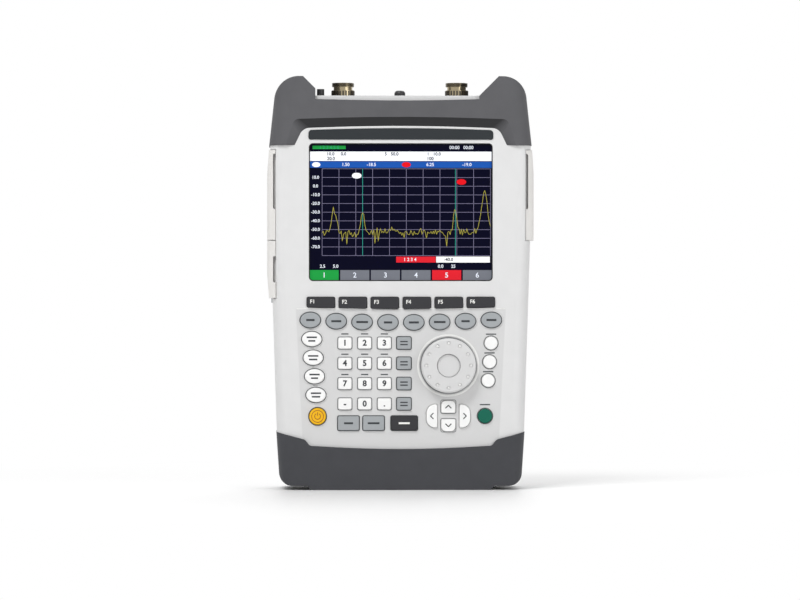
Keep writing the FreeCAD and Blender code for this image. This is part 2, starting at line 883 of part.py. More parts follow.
def recess_section(side):
    """The cut in the case that a flap lies in, open to the outside."""
    gap = size("flap_gap")
    wall = size("flap_thickness")
    front_x = FLAP_SIDE - size("flap_front_inset") - gap
    front_y = PANEL + size("flap_front_setback") - gap
    shape = [
        (OUTSIDE, HINGE_Y),
        (OUTSIDE, front_y - wall * 2.4),
        (front_x + wall * 1.2, front_y - wall * 2.4),
    ] + flap_inner(gap)
    return shape if side > 0 else flipped(shape)


def make_flap(name, side, z0, z1, taper_top, taper_bottom, notch_middle, notch_height):
    """One soft flap with its hinge barrel, tapered ends and a notch for a finger."""
    flap = Piece(name)
    barrel = size("flap_barrel_size") / 2
    bore = (size("flap_pin_size") / 2) + size("pin_fit")
    x = PIN_X * side
    flap.plan_pad(z0, z1, flap_section(side))
    flap.plan_pad(z0, z1, Disc(x, HINGE_Y, barrel))
    flap.plan_cut(z0, z1, Disc(x, HINGE_Y, bore))
    edge = FLAP_SIDE * side
    inward = (FLAP_SIDE - size("flap_taper")) * side
    past = OUTSIDE * side
    run = size("flap_taper_length")
    for wanted, end, turn in ((taper_top, z1, 1), (taper_bottom, z0, -1)):
        if wanted:
            wedge = [(edge, end - run * turn), (past, end - run * turn), (past, end + turn), (inward, end + turn)]
            flap.front_cut(BUMPER_FRONT, BUMPER_BACK, wedge)
    front = (FLAP_SIDE - size("flap_front_inset") - size("flap_thickness")) * side
    deep = (FLAP_SIDE - size("flap_front_inset") + size("finger_notch_depth")) * side
    low = notch_middle - notch_height / 2
    high = notch_middle + notch_height / 2
    notch = [(front, low), (deep, low, 1.0), (deep, high, 1.0), (front, high)]
    flap.front_cut(BUMPER_FRONT, PANEL + size("flap_bend_setback"), notch)


def make_flaps():
    """Two flaps on the left side and one on the right."""
    top, split, bottom = size("flap_top"), size("flap_split"), size("flap_bottom")
    gap = size("flap_gap")
    tall = size("finger_notch_height")
    middle = (top + split) / 2 + 10.0
    make_flap("left_upper_flap", -1, split + gap, top, True, False, middle, tall)
    make_flap("left_lower_flap", -1, bottom, split - gap, False, True, (bottom + split) / 2, size("small_notch_height"))
    make_flap("right_flap", 1, split, top, True, False, middle, tall)


def cut_flap_recess(piece, side, z0, z1):
    """Open the side of the case for flaps between two levels, with room for their hinge."""
    gap = size("flap_gap")
    low, high = z0 - gap, z1 + gap
    piece.plan_cut(low, high, recess_section(side))
    x = PIN_X * side
    swing = size("flap_pin_inset") + gap * 1.5
    piece.plan_cut(low, high, Disc(x, HINGE_Y, size("flap_barrel_size") / 2 + gap))
    inner = x - gap * 3 * side
    ends = sorted([inner, OUTSIDE * side], key=lambda s: s.number)
    piece.block_cut(ends[0], ends[1], HINGE_Y - size("flap_thickness"), HINGE_Y + swing, low, high)
    seat = size("pin_seat")
    piece.plan_cut(low - seat, high + seat, Disc(x, HINGE_Y, size("flap_pin_size") / 2))


# Case shells

def side_at(level):
    """Half the width of the case at a level under its shoulder."""
    return between(size("case_low_width"), size("case_shoulder_width"),
                   size("case_low_level"), size("case_shoulder_level"), level)


def plug_at(level):
    """Half the width of the plug at a level."""
    return between(size("plug_low_width"), size("plug_high_width"), size("plug_bottom"), size("case_top"), level)


def hollow():
    """The inside of the case in the front view."""
    wall, plug_wall = size("side_wall"), size("plug_wall")
    low = size("plug_bottom") + plug_wall
    neck = size("foot_step_height")
    belly = size("foot_lip_side") + 3.0
    shoulder = size("case_shoulder_level")
    leg = size("leg_end")
    roof = size("case_top") - plug_wall
    return both_sides([
        (plug_at(low) - plug_wall, low, 3.0),
        (plug_at(neck) - plug_wall, neck),
        (side_at(belly) - wall, belly),
        (size("case_shoulder_width") / 2 - wall, shoulder),
        (size("case_shoulder_width") / 2 - wall, leg - 10.0),
        (plug_at(leg) - plug_wall, leg - 2.0),
        (plug_at(roof) - plug_wall, roof, 3.0),
    ])


def case_shell(name):
    """The case's outer form, which both shells start from."""
    shell = Casting(name)
    corner = size("case_corner")
    sections = []
    for part in ("low", "shoulder", "high"):
        outline = plan_section(size(f"case_{part}_width"), PANEL, REAR, corner)
        sections.append((size(f"case_{part}_level"), outline))
    shell.loft(sections)
    shell.front_cut(BUMPER_FRONT, BUMPER_BACK, below_foot_seam(), above_crown_seam())
    shell.loft(plug_sections())
    return shell


def screw_places():
    """Where the case screws stand."""
    places = []
    for x in (-size("screw_column"), size("screw_column")):
        for z in (size("screw_low_level"), size("screw_high_level")):
            places.append((x, z))
    return places


def keypad_bosses(radius):
    """The four posts that carry the keypad board."""
    x = size("keypad_width") / 2 - size("keypad_boss_inset")
    low = size("keypad_bottom") + size("keypad_boss_inset")
    high = size("keypad_top") - size("keypad_boss_inset")
    return [Disc(x * side, z, radius) for side in (-1, 1) for z in (low, high)]


def board_bosses(radius):
    """The four posts that carry the main board."""
    x = size("main_board_width") / 2 - size("board_boss_size") / 2
    low = size("main_board_bottom") + size("board_boss_size")
    high = size("main_board_top") - size("board_boss_size")
    return [Disc(x * side, z, radius) for side in (-1, 1) for z in (low, high)]


def side_sockets():
    """Each socket behind a flap: side, level, height along Z, thickness along Y."""
    upper = (size("flap_top") + size("flap_split")) / 2 - 10.0
    lower = (size("flap_bottom") + size("flap_split")) / 2
    return {
        "usb": (-1, upper, size("usb_width"), size("usb_height")),
        "mini": (-1, lower, size("mini_width"), size("mini_height")),
        "power": (1, upper, size("power_body"), size("power_body")),
    }


def top_sockets():
    """Each socket on top: column and radius of its hole through the case."""
    body = size("port_body") / 2
    return {
        "port_1": (-size("port_column"), body),
        "port_2": (size("port_column"), body),
        "antenna": (sized(0.0), size("gps_size") / 2 - 1.0),
        "headset": (-size("headset_column"), size("headset_size") / 2 - 0.8),
    }


def make_front_housing():
    """The deep front shell with the panel, the display opening, key holes and socket holes."""
    shell = case_shell("front_housing")
    shell.block_cut(-OUTSIDE, OUTSIDE, SPLIT, BUMPER_BACK, 0.0, size("overall_height"))
    shell.front_cut(PANEL_BACK, SPLIT, hollow())
    bosses = [Disc(x, z, size("case_boss_size") / 2) for x, z in screw_places()]
    shell.front_pad(SPLIT - size("case_boss_depth"), SPLIT, *bosses)
    shell.front_pad(PANEL_BACK, BOARD_FRONT, *keypad_bosses(size("boss_size") / 2))
    shell.front_pad(PANEL_BACK, MAIN_FRONT, *board_bosses(size("board_boss_size") / 2))
    shank = size("screw_shank") / 2 + size("pin_fit")
    holes = [Disc(x, z, shank) for x, z in screw_places()]
    shell.front_cut(SPLIT - size("case_boss_depth") + 2.0, SPLIT, *holes)
    half = size("display_width") / 2
    low = size("display_bottom")
    shell.front_cut(PANEL, PANEL_BACK, rounded(-half, half, low, low + size("display_height"), size("display_corner")))
    shell.front_cut(PANEL, PANEL + size("plate_thickness") - size("plate_proud"), name_plate_outline())
    groups = {}
    for name, outlines in key_outlines(size("key_gap")).items():
        groups.setdefault(name.split("_")[0], []).extend(outlines)
    for outlines in groups.values():
        shell.front_cut(PANEL, PANEL_BACK, *outlines)
    bush = size("shaft_size") / 2 + size("shaft_fit") + 0.2
    shell.front_cut(PANEL, PANEL_BACK, Disc(size("knob_column"), size("knob_level"), bush))
    cut_flap_recess(shell, -1, size("flap_bottom"), size("flap_top"))
    cut_flap_recess(shell, 1, size("flap_split"), size("flap_top"))
    margin = 0.5
    for side, level, tall, thick in side_sockets().values():
        ends = sorted([(size("case_shoulder_width") / 2 - size("side_wall") - 2.0) * side, OUTSIDE * side],
                      key=lambda s: s.number)
        y0 = MAIN_BACK - margin
        shell.block_cut(ends[0], ends[1], y0, y0 + thick + margin * 2,
                  level - tall / 2 - margin, level + tall / 2 + margin)
    for column, radius in top_sockets().values():
        roof = size("case_top")
        shell.plan_cut(roof - size("plug_wall") - 1.0, roof, Disc(column, PORT_Y, radius))
    shell.finish()


def door_outline(grow):
    """The battery door in the rear view."""
    half = size("battery_width") / 2 + size("door_margin") + grow
    low = size("battery_bottom") - size("door_margin") - grow
    high = size("battery_bottom") + size("battery_height") + size("door_margin") + grow
    return rounded(-half, half, low, high, 3.0)


def door_screws(radius):
    """Two screws along the door's top edge."""
    level = size("battery_bottom") + size("battery_height") + size("door_margin") / 2
    return [Disc(size("door_screw_column") * side, level, radius) for side in (-1, 1)]


STAND_PIN_Y = REAR - size("stand_thickness") / 2 - 0.1


def make_rear_housing():
    """The shallow rear shell, with the battery opening and the bed of the tilt stand."""
    shell = case_shell("rear_housing")
    shell.block_cut(-OUTSIDE, OUTSIDE, BUMPER_FRONT, SPLIT, 0.0, size("overall_height"))
    shell.front_cut(SPLIT, REAR_INSIDE, hollow())
    bosses = [Disc(x, z, size("case_boss_size") / 2) for x, z in screw_places()]
    shell.front_pad(SPLIT, REAR_INSIDE, *bosses)
    shank = size("screw_shank") / 2 + size("pin_fit")
    shell.front_cut(SPLIT, REAR, *[Disc(x, z, shank) for x, z in screw_places()])
    head = size("screw_head") / 2 + 0.3
    shell.front_cut(REAR - size("screw_head_height") - 0.4, REAR, *[Disc(x, z, head) for x, z in screw_places()])
    gap = size("door_gap")
    half = size("battery_width") / 2 + gap
    low = size("battery_bottom") - gap
    high = size("battery_bottom") + size("battery_height") + gap
    shell.front_cut(REAR_INSIDE, REAR, rounded(-half, half, low, high, 2.0))
    shell.front_cut(REAR - size("door_thickness"), REAR, door_outline(gap))
    shell.front_cut(REAR_INSIDE, REAR, *door_screws(size("door_screw_size") / 2))
    half = size("stand_width") / 2 + size("stand_gap")
    top = size("stand_hinge_level") + size("stand_thickness") / 2 + size("stand_gap")
    low = size("stand_hinge_level") - size("stand_height") - size("stand_gap")
    bed = REAR - size("stand_recess")
    shell.front_cut(bed, REAR, [(-half, low, 2.0), (half, low, 2.0), (half, top), (-half, top)])
    shell.front_cut(bed, REAR, Disc(0.0, low, size("stand_scoop")))
    reach = half + size("stand_pin_seat")
    shell.side_cut(-reach, reach, Disc(STAND_PIN_Y, size("stand_hinge_level"), size("stand_pin_size") / 2))
    shell.finish()


def make_top_bumper():
    """The rubber bumper over the top corners, with an ear each side of the sockets."""
    bumper = Piece("top_bumper")
    corner = size("bumper_corner")
    level, top = size("crown_low_level"), size("overall_height")
    low, high = size("crown_low_width"), size("crown_high_width")
    bumper.loft("PartDesign::AdditiveLoft", "XY_Plane", [
        (level, plan_section(low, BUMPER_FRONT, BUMPER_BACK, corner)),
        (top, plan_section(high, BUMPER_FRONT, BUMPER_BACK, corner)),
    ])
    bumper.front_cut(BUMPER_FRONT, BUMPER_BACK, below_crown_seam())
    bevel = size("band_bevel")
    for front, back in ((BUMPER_FRONT, PANEL), (BUMPER_BACK, REAR)):
        bumper.loft("PartDesign::SubtractiveLoft", "XZ_Plane", [
            (-front, below_crown_seam(bevel, bevel, 5.0)),
            (-back, below_crown_seam()),
        ])
    level = size("leg_end") + 10.0
    shoulder = between(low, high, size("crown_low_level"), top, level)
    crown = (high / 2, top, size("crown_round"))
    corner_cut = [(high / 2 - size("crown_round") * 1.5, top), crown, (shoulder, level),
                  (OUTSIDE, level), (OUTSIDE, top + 1.0), (high / 2 - size("crown_round") * 1.5, top + 1.0)]
    bumper.front_cut(BUMPER_FRONT, BUMPER_BACK, corner_cut)
    bumper.front_cut(BUMPER_FRONT, BUMPER_BACK, flipped(corner_cut))
    ear = size("ear_top_width") / 2
    slope, short = size("ear_slope"), size("left_ear_slope")
    outer, middle = size("band_top_outer"), size("band_top_middle")
    bay = [
        (0.0, middle, bow_radius(ear - slope, outer - middle)),
        (ear - slope, outer),
        (ear - slope, top - slope),
        (ear, top),
        (ear, top + 1.0),
        (-ear, top + 1.0),
        (-ear, top),
        (short - ear, top - short),
        (short - ear, outer),
    ]
    bumper.front_cut(BUMPER_FRONT, BUMPER_BACK, bay)
    bumper.loft("PartDesign::SubtractiveLoft", "XY_Plane", plug_sections())


def make_bottom_bumper():
    """The rubber foot that the instrument stands on."""
    bumper = Piece("bottom_bumper")
    corner = size("bumper_corner")
    low, high, top = size("foot_low_width"), size("foot_high_width"), size("foot_high_level")
    bumper.loft("PartDesign::AdditiveLoft", "XY_Plane", [
        (0.0, plan_section(low, BUMPER_FRONT, BUMPER_BACK, corner)),
        (top, plan_section(high, BUMPER_FRONT, BUMPER_BACK, corner)),
    ])
    bumper.front_cut(BUMPER_FRONT, BUMPER_BACK, above_foot_seam())
    pad, rise = size("foot_pad_width") / 2, size("foot_pad_height")
    level = size("foot_lip_middle")
    corner_x = between(low, high, 0.0, top, rise)
    side_x = between(low, high, 0.0, top, level)
    under = [(pad, -1.0), (OUTSIDE, -1.0), (OUTSIDE, level), (side_x, level),
             (corner_x, rise, size("foot_round")), (pad + rise, rise), (pad, 0.0)]
    bumper.front_cut(BUMPER_FRONT, BUMPER_BACK, under)
    bumper.front_cut(BUMPER_FRONT, BUMPER_BACK, flipped(under))
    bumper.loft("PartDesign::SubtractiveLoft", "XY_Plane", plug_sections())


# Name plate, display and keypad

def name_plate_outline():
    """The dark plate above the display, with a bowed top."""
    half = size("plate_width") / 2
    rise = size("plate_mid_top") - size("plate_side_top")
    return both_sides([
        (half, size("plate_bottom"), 1.5),
        (half, size("plate_side_top"), 2.5),
        (0.0, size("plate_mid_top"), bow_radius(half, rise)),
    ])


def make_display():
    """The blank name plate, the window and the display behind it."""
    plate = Piece("name_plate")
    plate.front_pad(PANEL - size("plate_proud"), PANEL + size("plate_thickness") - size("plate_proud"),
                    name_plate_outline())
    half, low = size("display_width") / 2, size("display_bottom")
    high = low + size("display_height")
    window = Piece("display_window")
    edge = size("window_margin")
    window.front_pad(PANEL_BACK, WINDOW_BACK, rounded(-half - edge, half + edge, low - edge, high + edge, 2.0))
    module = Piece("display_module")
    edge = size("module_margin")
    module.box(-half - edge, half + edge, WINDOW_BACK, MODULE_BACK, low - edge, high + edge)


def make_keypad():
    """The silicone mat under the keys and the board that reads them."""
    half, low, high = size("keypad_width") / 2, size("keypad_bottom"), size("keypad_top")
    knob = Disc(size("knob_column"), size("knob_level"), size("shaft_size") / 2 + 2.0)
    mat = Piece("key_mat")
    mat.front_pad(MAT_FRONT, BOARD_FRONT, rounded(-half, half, low, high, 2.0))
    mat.front_cut(MAT_FRONT, BOARD_FRONT, knob, *keypad_bosses(size("boss_size") / 2 + 0.3))
    board = Piece("keypad_board")
    board.front_pad(BOARD_FRONT, BOARD_BACK, rounded(-half, half, low, high, 2.0))
    board.front_cut(BOARD_FRONT, BOARD_BACK, knob)


def make_inner_parts():
    """The main board, the radio module, the battery and its door."""
    half = size("main_board_width") / 2
    board = Piece("main_board")
    board.front_pad(MAIN_FRONT, MAIN_BACK,
                    rounded(-half, half, size("main_board_bottom"), size("main_board_top"), 2.0))
    radio = Piece("radio_module")
    half = size("rf_width") / 2
    top = size("case_top") - size("plug_wall") - 3.5
    depth = size("rf_depth") / 2
    radio.box(-half, half, PORT_Y - depth, PORT_Y + depth, top - size("rf_height"), top)
    battery = Piece("battery_pack")
    half = size("battery_width") / 2
    inner = REAR - size("door_thickness")
    low = size("battery_bottom")
    battery.front_pad(inner - size("battery_depth"), inner,
                      rounded(-half, half, low, low + size("battery_height"), 2.0))
    door = Piece("battery_door")
    door.front_pad(inner, REAR, door_outline(0.0))
    door.front_cut(inner, REAR, *door_screws(size("door_screw_size") / 2))
    door.front_cut(REAR - 1.0, REAR, *door_screws(size("door_screw_head") / 2))


def make_knob():
    """The encoder behind the keypad board, its shaft, and the knob that turns and pushes it."""
    x, z = size("knob_column"), size("knob_level")
    shaft_radius = size("shaft_size") / 2
    fit = shaft_radius + size("shaft_fit")
    reach = size("encoder_depth") * 0.65
    half = size("encoder_size") / 2
    encoder = Piece("encoder_body")
    encoder.box(x - half, x + half, BOARD_BACK, BOARD_BACK + size("encoder_depth"), z - half, z + half)
    encoder.front_cut(BOARD_BACK, BOARD_BACK + reach + size("knob_push") + 0.4, Disc(x, z, fit))
    shaft = Piece("encoder_shaft")
    shaft.front_pad(KNOB_FRONT + size("knob_roof"), BOARD_BACK + reach, Disc(x, z, shaft_radius))
    knob = Piece("tuning_knob")
    skirt = PANEL - size("knob_skirt_gap")
    radius = size("knob_size") / 2
    knob.front_pad(KNOB_FRONT, skirt, Disc(x, z, radius))
    knob.soften(1.5, lambda edge: abs(edge.BoundBox.YMax - KNOB_FRONT.number) < 0.001)
    knob.front_cut(KNOB_FRONT, KNOB_FRONT + size("knob_dish_depth"), Disc(x, z, size("knob_dish_size") / 2))
    knob.front_cut(KNOB_FRONT + size("knob_roof"), skirt, Disc(x, z, fit))
    ring = radius * 0.82
    dimples = []
    for index in range(12):
        angle = math.radians(30.0 * index)
        dimples.append(Disc(x + ring * math.cos(angle), z + ring * math.sin(angle), radius * 0.07))
    knob.front_cut(KNOB_FRONT, KNOB_FRONT + 0.5, *dimples)


def make_top_sockets():
    """Two radio ports, the small capped antenna socket and the headset socket."""
    roof = size("case_top")
    inside = roof - size("plug_wall") - 3.5
    tip = roof + size("port_height")
    neck_top = tip - size("port_head_height")
    flange_top = roof + size("port_flange_height")
    bottom = tip - size("port_height") * 0.77
    for name, turn in (("port_1_connector", -1), ("port_2_connector", 1)):
        x = size("port_column") * turn
        port = Piece(name)
        port.plan_pad(inside, roof, Disc(x, PORT_Y, size("port_body") / 2))
        port.plan_pad(roof, flange_top, Disc(x, PORT_Y, size("port_flange") / 2))
        port.plan_pad(flange_top, neck_top, Disc(x, PORT_Y, size("port_neck") / 2))
        port.plan_pad(neck_top, tip, Disc(x, PORT_Y, size("port_thread") / 2))
        port.plan_cut(bottom, tip, Disc(x, PORT_Y, size("port_bore") / 2))
        port.plan_pad(bottom, tip - 1.5, Disc(x, PORT_Y, size("port_contact") / 2))
    antenna = Piece("antenna_socket")
    top = roof + size("gps_height")
    antenna.plan_pad(inside, roof, Disc(0.0, PORT_Y, size("gps_size") / 2 - 1.0))
    antenna.plan_pad(roof, top, Disc(0.0, PORT_Y, size("gps_size") / 2))
    antenna.soften(size("gps_size") * 0.3, lambda edge: abs(edge.BoundBox.ZMin - top.number) < 0.001)
    headset = Piece("headset_socket")
    x = -size("headset_column")
    radius = size("headset_size") / 2
    headset.plan_pad(inside, roof, Disc(x, PORT_Y, radius - 0.8))
    headset.plan_pad(roof, roof + 1.2, Disc(x, PORT_Y, size("headset_flange") / 2))
    headset.plan_pad(roof + 1.2, roof + size("headset_height"), Disc(x, PORT_Y, radius))
    headset.plan_cut(roof, roof + size("headset_height"), Disc(x, PORT_Y, radius - 0.9))


def make_side_sockets():
    """The sockets behind the flaps, soldered to the back of the main board."""
    sockets = side_sockets()
    face = FLAP_SIDE - size("flap_thickness") - size("flap_gap") - size("socket_recess")
    inner = face - size("usb_depth")
    deep = face - size("usb_mouth_depth")
    data = Piece("usb_sockets")
    for name in ("usb", "mini"):
        side, level, tall, thick = sockets[name]
        data.box(-face, -inner, MAIN_BACK, MAIN_BACK + thick, level - tall / 2, level + tall / 2)
    for name in ("usb", "mini"):
        side, level, tall, thick = sockets[name]
        wide = size(f"{name}_mouth_width") / 2
        high = size(f"{name}_mouth_height") / 2
        middle = MAIN_BACK + thick / 2
        data.box(-face, -deep, middle - high, middle + high, level - wide, level + wide, cut=True)
    power = Piece("power_socket")
    side, level, tall, thick = sockets["power"]
    power.box(inner, face, MAIN_BACK, MAIN_BACK + thick, level - tall / 2, level + tall / 2)
    middle = MAIN_BACK + thick / 2
    power.side_cut(deep, face, Disc(middle, level, size("power_mouth") / 2))
    power.side_pad(deep, face - 1.0, Disc(middle, level, size("power_pin") / 2))


def make_stand():
    """The tilt stand that lies flush in the back and swings out from its upper edge."""
    stand = Piece("tilt_stand")
    half = size("stand_width") / 2
    level = size("stand_hinge_level")
    low = level - size("stand_height")
    front = STAND_PIN_Y - size("stand_thickness") / 2
    back = STAND_PIN_Y + size("stand_thickness") / 2
    stand.front_pad(front, back, [(-half, low, 5.0), (half, low, 5.0), (half, level), (-half, level)])
    stand.side_pad(-half, half, Disc(STAND_PIN_Y, level, size("stand_thickness") / 2))
    stand.side_cut(-half, half, Disc(STAND_PIN_Y, level, size("stand_pin_size") / 2 + size("pin_fit")))
    for row in range(3):
        rib = low + 12.0 + 6.0 * row
        stand.front_cut(back - 0.8, back, rounded(-half * 0.5, half * 0.5, rib, rib + 2.0, 0.9))


def make_fasteners():
    """The hinge pins of the flaps and the stand, and the screws of the case and the door."""
    pins = Piece("hinge_pins")
    seat = size("pin_seat") + size("flap_gap")
    radius = size("flap_pin_size") / 2
    top = size("flap_top") + seat
    pins.plan_pad(size("flap_bottom") - seat, top, Disc(-PIN_X, HINGE_Y, radius))
    pins.plan_pad(size("flap_split") - seat, top, Disc(PIN_X, HINGE_Y, radius))
    reach = size("stand_width") / 2 + size("stand_gap") + size("stand_pin_seat")
    pins.side_pad(-reach, reach, Disc(STAND_PIN_Y, size("stand_hinge_level"), size("stand_pin_size") / 2))
    screws = Piece("case_screws")
    face = REAR - 0.4
    under = face - size("screw_head_height")
    screws.front_pad(under, face, *[Disc(x, z, size("screw_head") / 2) for x, z in screw_places()])
    screws.front_pad(under - size("screw_reach"), under,
                     *[Disc(x, z, size("screw_shank") / 2) for x, z in screw_places()])
    screws.front_cut(face - 1.0, face, *[Disc(x, z, size("screw_shank") / 2 * 0.8) for x, z in screw_places()])
    screws.front_pad(REAR_INSIDE, REAR - 1.0, *door_screws(size("door_screw_size") / 2))
    screws.front_pad(REAR - 1.0, REAR, *door_screws(size("door_screw_head") / 2))


make_front_housing()
make_rear_housing()
make_top_bumper()
make_bottom_bumper()
make_display()
make_keypad()
make_inner_parts()
make_keys()
make_knob()
make_top_sockets()
make_side_sockets()
make_flaps()
make_stand()
make_fasteners()

doc.recompute()
faults = [item.Label for item in doc.Objects if "Invalid" in item.State or "Error" in item.State]
for piece in Piece.made:
    if piece.body.Shape.isNull() or not piece.body.Shape.isValid():
        faults.append(piece.name)
if faults:
    raise RuntimeError("failed objects: " + ", ".join(faults))

os.makedirs("parts", exist_ok=True)
for piece in Piece.made:
    piece.body.Shape.exportStep(os.path.join("parts", piece.name + ".step"))
print(len(Piece.made), "pieces")
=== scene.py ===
import bpy
import bmesh
import json
import math
import random
from mathutils import Matrix, Vector


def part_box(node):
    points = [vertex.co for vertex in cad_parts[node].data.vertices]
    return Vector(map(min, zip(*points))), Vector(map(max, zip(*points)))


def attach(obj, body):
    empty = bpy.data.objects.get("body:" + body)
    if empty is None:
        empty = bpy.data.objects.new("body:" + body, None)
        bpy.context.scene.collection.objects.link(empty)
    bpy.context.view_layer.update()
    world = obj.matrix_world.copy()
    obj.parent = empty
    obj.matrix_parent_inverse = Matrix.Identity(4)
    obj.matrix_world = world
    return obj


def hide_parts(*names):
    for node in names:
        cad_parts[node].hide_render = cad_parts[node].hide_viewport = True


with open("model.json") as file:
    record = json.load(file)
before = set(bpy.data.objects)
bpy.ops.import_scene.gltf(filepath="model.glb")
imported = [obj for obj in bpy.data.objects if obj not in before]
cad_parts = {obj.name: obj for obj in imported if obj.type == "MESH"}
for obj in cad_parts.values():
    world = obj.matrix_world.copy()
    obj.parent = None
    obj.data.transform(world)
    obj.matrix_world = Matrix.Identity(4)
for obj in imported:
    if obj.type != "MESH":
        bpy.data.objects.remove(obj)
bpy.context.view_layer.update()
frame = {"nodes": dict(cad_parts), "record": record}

# The floor: a plain sweep of pale matt paper that the instrument stands on.
# It keeps a soft contact shadow and turns plain white beyond it, so that no edge of it shows.
FLOOR_SIZE = 12.0
SHADOW_REACH, WHITE_REACH = 0.12, 0.5


def linear(hex_code):
    """An sRGB hex colour as the linear values that a shader takes."""
    channels = [int(hex_code[i:i + 2], 16) / 255 for i in (1, 3, 5)]
    return [c / 12.92 if c <= 0.04045 else ((c + 0.055) / 1.055) ** 2.4 for c in channels] + [1.0]


def add_node(tree, kind, settings=None, links=None):
    """A shader node with its settings, fed by links of input name or number to output socket."""
    node = tree.nodes.new(kind)
    for name, value in (settings or {}).items():
        if isinstance(name, int) or name in node.inputs:
            node.inputs[name].default_value = value
        else:
            setattr(node, name, value)
    for name, socket in (links or {}).items():
        tree.links.new(socket, node.inputs[name])
    return node


def seen_rays(tree):
    """One for the rays that look at the studio straight, in a gloss or through glass, else zero."""
    ray = add_node(tree, "ShaderNodeLightPath")
    seen = ray.outputs["Is Camera Ray"]
    for kind in ("Is Glossy Ray", "Is Transmission Ray"):
        total = add_node(tree, "ShaderNodeMath", {"operation": "ADD", "use_clamp": True},
                         {0: seen, 1: ray.outputs[kind]})
        seen = total.outputs["Value"]
    return seen


bm = bmesh.new()
bmesh.ops.create_grid(bm, x_segments=1, y_segments=1, size=FLOOR_SIZE / 2)
floor_mesh = bpy.data.meshes.new("floor")
bm.to_mesh(floor_mesh)
bm.free()
floor = bpy.data.objects.new("floor", floor_mesh)
bpy.context.scene.collection.objects.link(floor)
# uncoated paper: matt and white, with only a breath of shine
paper = bpy.data.materials.new("white_paper_sweep")
paper.use_nodes = True
paper_tree = paper.node_tree
paper_shader = paper_tree.nodes["Principled BSDF"]
paper_shader.inputs["Base Color"].default_value = linear("#f6f6f6")
paper_shader.inputs["Roughness"].default_value = 0.45
paper_shader.inputs["Specular IOR Level"].default_value = 0.25
paper_place = add_node(paper_tree, "ShaderNodeTexCoord")
paper_reach = add_node(paper_tree, "ShaderNodeVectorMath", {"operation": "LENGTH"},
                       {"Vector": paper_place.outputs["Object"]})
paper_fade = add_node(paper_tree, "ShaderNodeMapRange",
                      {"From Min": SHADOW_REACH, "From Max": WHITE_REACH},
                      {"Value": paper_reach.outputs["Value"]})
paper_white = add_node(paper_tree, "ShaderNodeEmission", {"Color": (1, 1, 1, 1), "Strength": 1.0})
paper_share = add_node(paper_tree, "ShaderNodeMath", {"operation": "MULTIPLY"},
                       {0: paper_fade.outputs["Result"], 1: seen_rays(paper_tree)})
paper_mix = add_node(paper_tree, "ShaderNodeMixShader", {},
                     {"Fac": paper_share.outputs["Value"], 1: paper_shader.outputs["BSDF"],
                      2: paper_white.outputs["Emission"]})
paper_tree.links.new(paper_mix.outputs["Shader"], paper_tree.nodes["Material Output"].inputs["Surface"])
floor.data.materials.append(paper)

# The case: front and rear shells, battery door and stand, injection moulded in pale grey ABS.
# The shells are screwed together, and the mould's spark-eroded grain gives a soft, even highlight.
MM = 0.001
CLOUD_SIZE = 14.0 * MM
GRAIN_DEPTH = 0.1 * MM


def moulded(name, colour, roughness, grain_mm, bump, mottle, edge_mm=0.35, metallic=0.0, gloss=0.5):
    """A moulded or plated surface: base colour with faint mottle, surface grain and softened edges."""
    made = bpy.data.materials.new(name)
    made.use_nodes = True
    tree = made.node_tree
    shader = tree.nodes["Principled BSDF"]
    shader.inputs["Roughness"].default_value = roughness
    shader.inputs["Metallic"].default_value = metallic
    shader.inputs["Specular IOR Level"].default_value = gloss
    place = add_node(tree, "ShaderNodeTexCoord")
    cloud = add_node(tree, "ShaderNodeTexNoise", {"Scale": 1 / CLOUD_SIZE, "Detail": 3.0},
                     {"Vector": place.outputs["Object"]})
    base = linear(colour)
    shade = [value * (1 - mottle) for value in base[:3]] + [1.0]
    ramp = add_node(tree, "ShaderNodeValToRGB", {}, {"Fac": cloud.outputs["Fac"]})
    for stop, position, tone in zip(ramp.color_ramp.elements, (0.3, 0.7), (shade, base)):
        stop.position = position
        stop.color = tone
    tree.links.new(ramp.outputs["Color"], shader.inputs["Base Color"])
    grain = add_node(tree, "ShaderNodeTexNoise", {"Scale": 1 / (grain_mm * MM), "Detail": 2.0},
                     {"Vector": place.outputs["Object"]})
    edge = add_node(tree, "ShaderNodeBevel", {"samples": 4, "Radius": edge_mm * MM})
    rough = add_node(tree, "ShaderNodeBump", {"Strength": bump, "Distance": GRAIN_DEPTH},
                     {"Height": grain.outputs["Fac"], "Normal": edge.outputs["Normal"]})
    tree.links.new(rough.outputs["Normal"], shader.inputs["Normal"])
    return made


def dress(wanted, finish):
    """Give a finish to the CAD node of this name, or to every node of this material slot."""
    for part in frame["record"]["subparts"]:
        if wanted in (part["node"], part["material_slot"]):
            cad = frame["nodes"][part["node"]]
            if not cad.material_slots:
                cad.data.materials.append(finish)
            for place in cad.material_slots:
                place.material = finish


def toned(finish, share, colour):
    """Turn a finish to another colour where a mask in its own shader tree says so."""
    tree = finish.node_tree
    shader = tree.nodes["Principled BSDF"]
    mix = add_node(tree, "ShaderNodeMixRGB", {"Color2": linear(colour)},
                   {"Fac": share, "Color1": shader.inputs["Base Color"].links[0].from_socket})
    tree.links.new(mix.outputs["Color"], shader.inputs["Base Color"])


# grained ABS: pale and satin, with no sharp reflection
case_abs = moulded("grained_abs", "#dedede", roughness=0.42, grain_mm=0.35, bump=0.12, mottle=0.03)
dress("case_abs", case_abs)
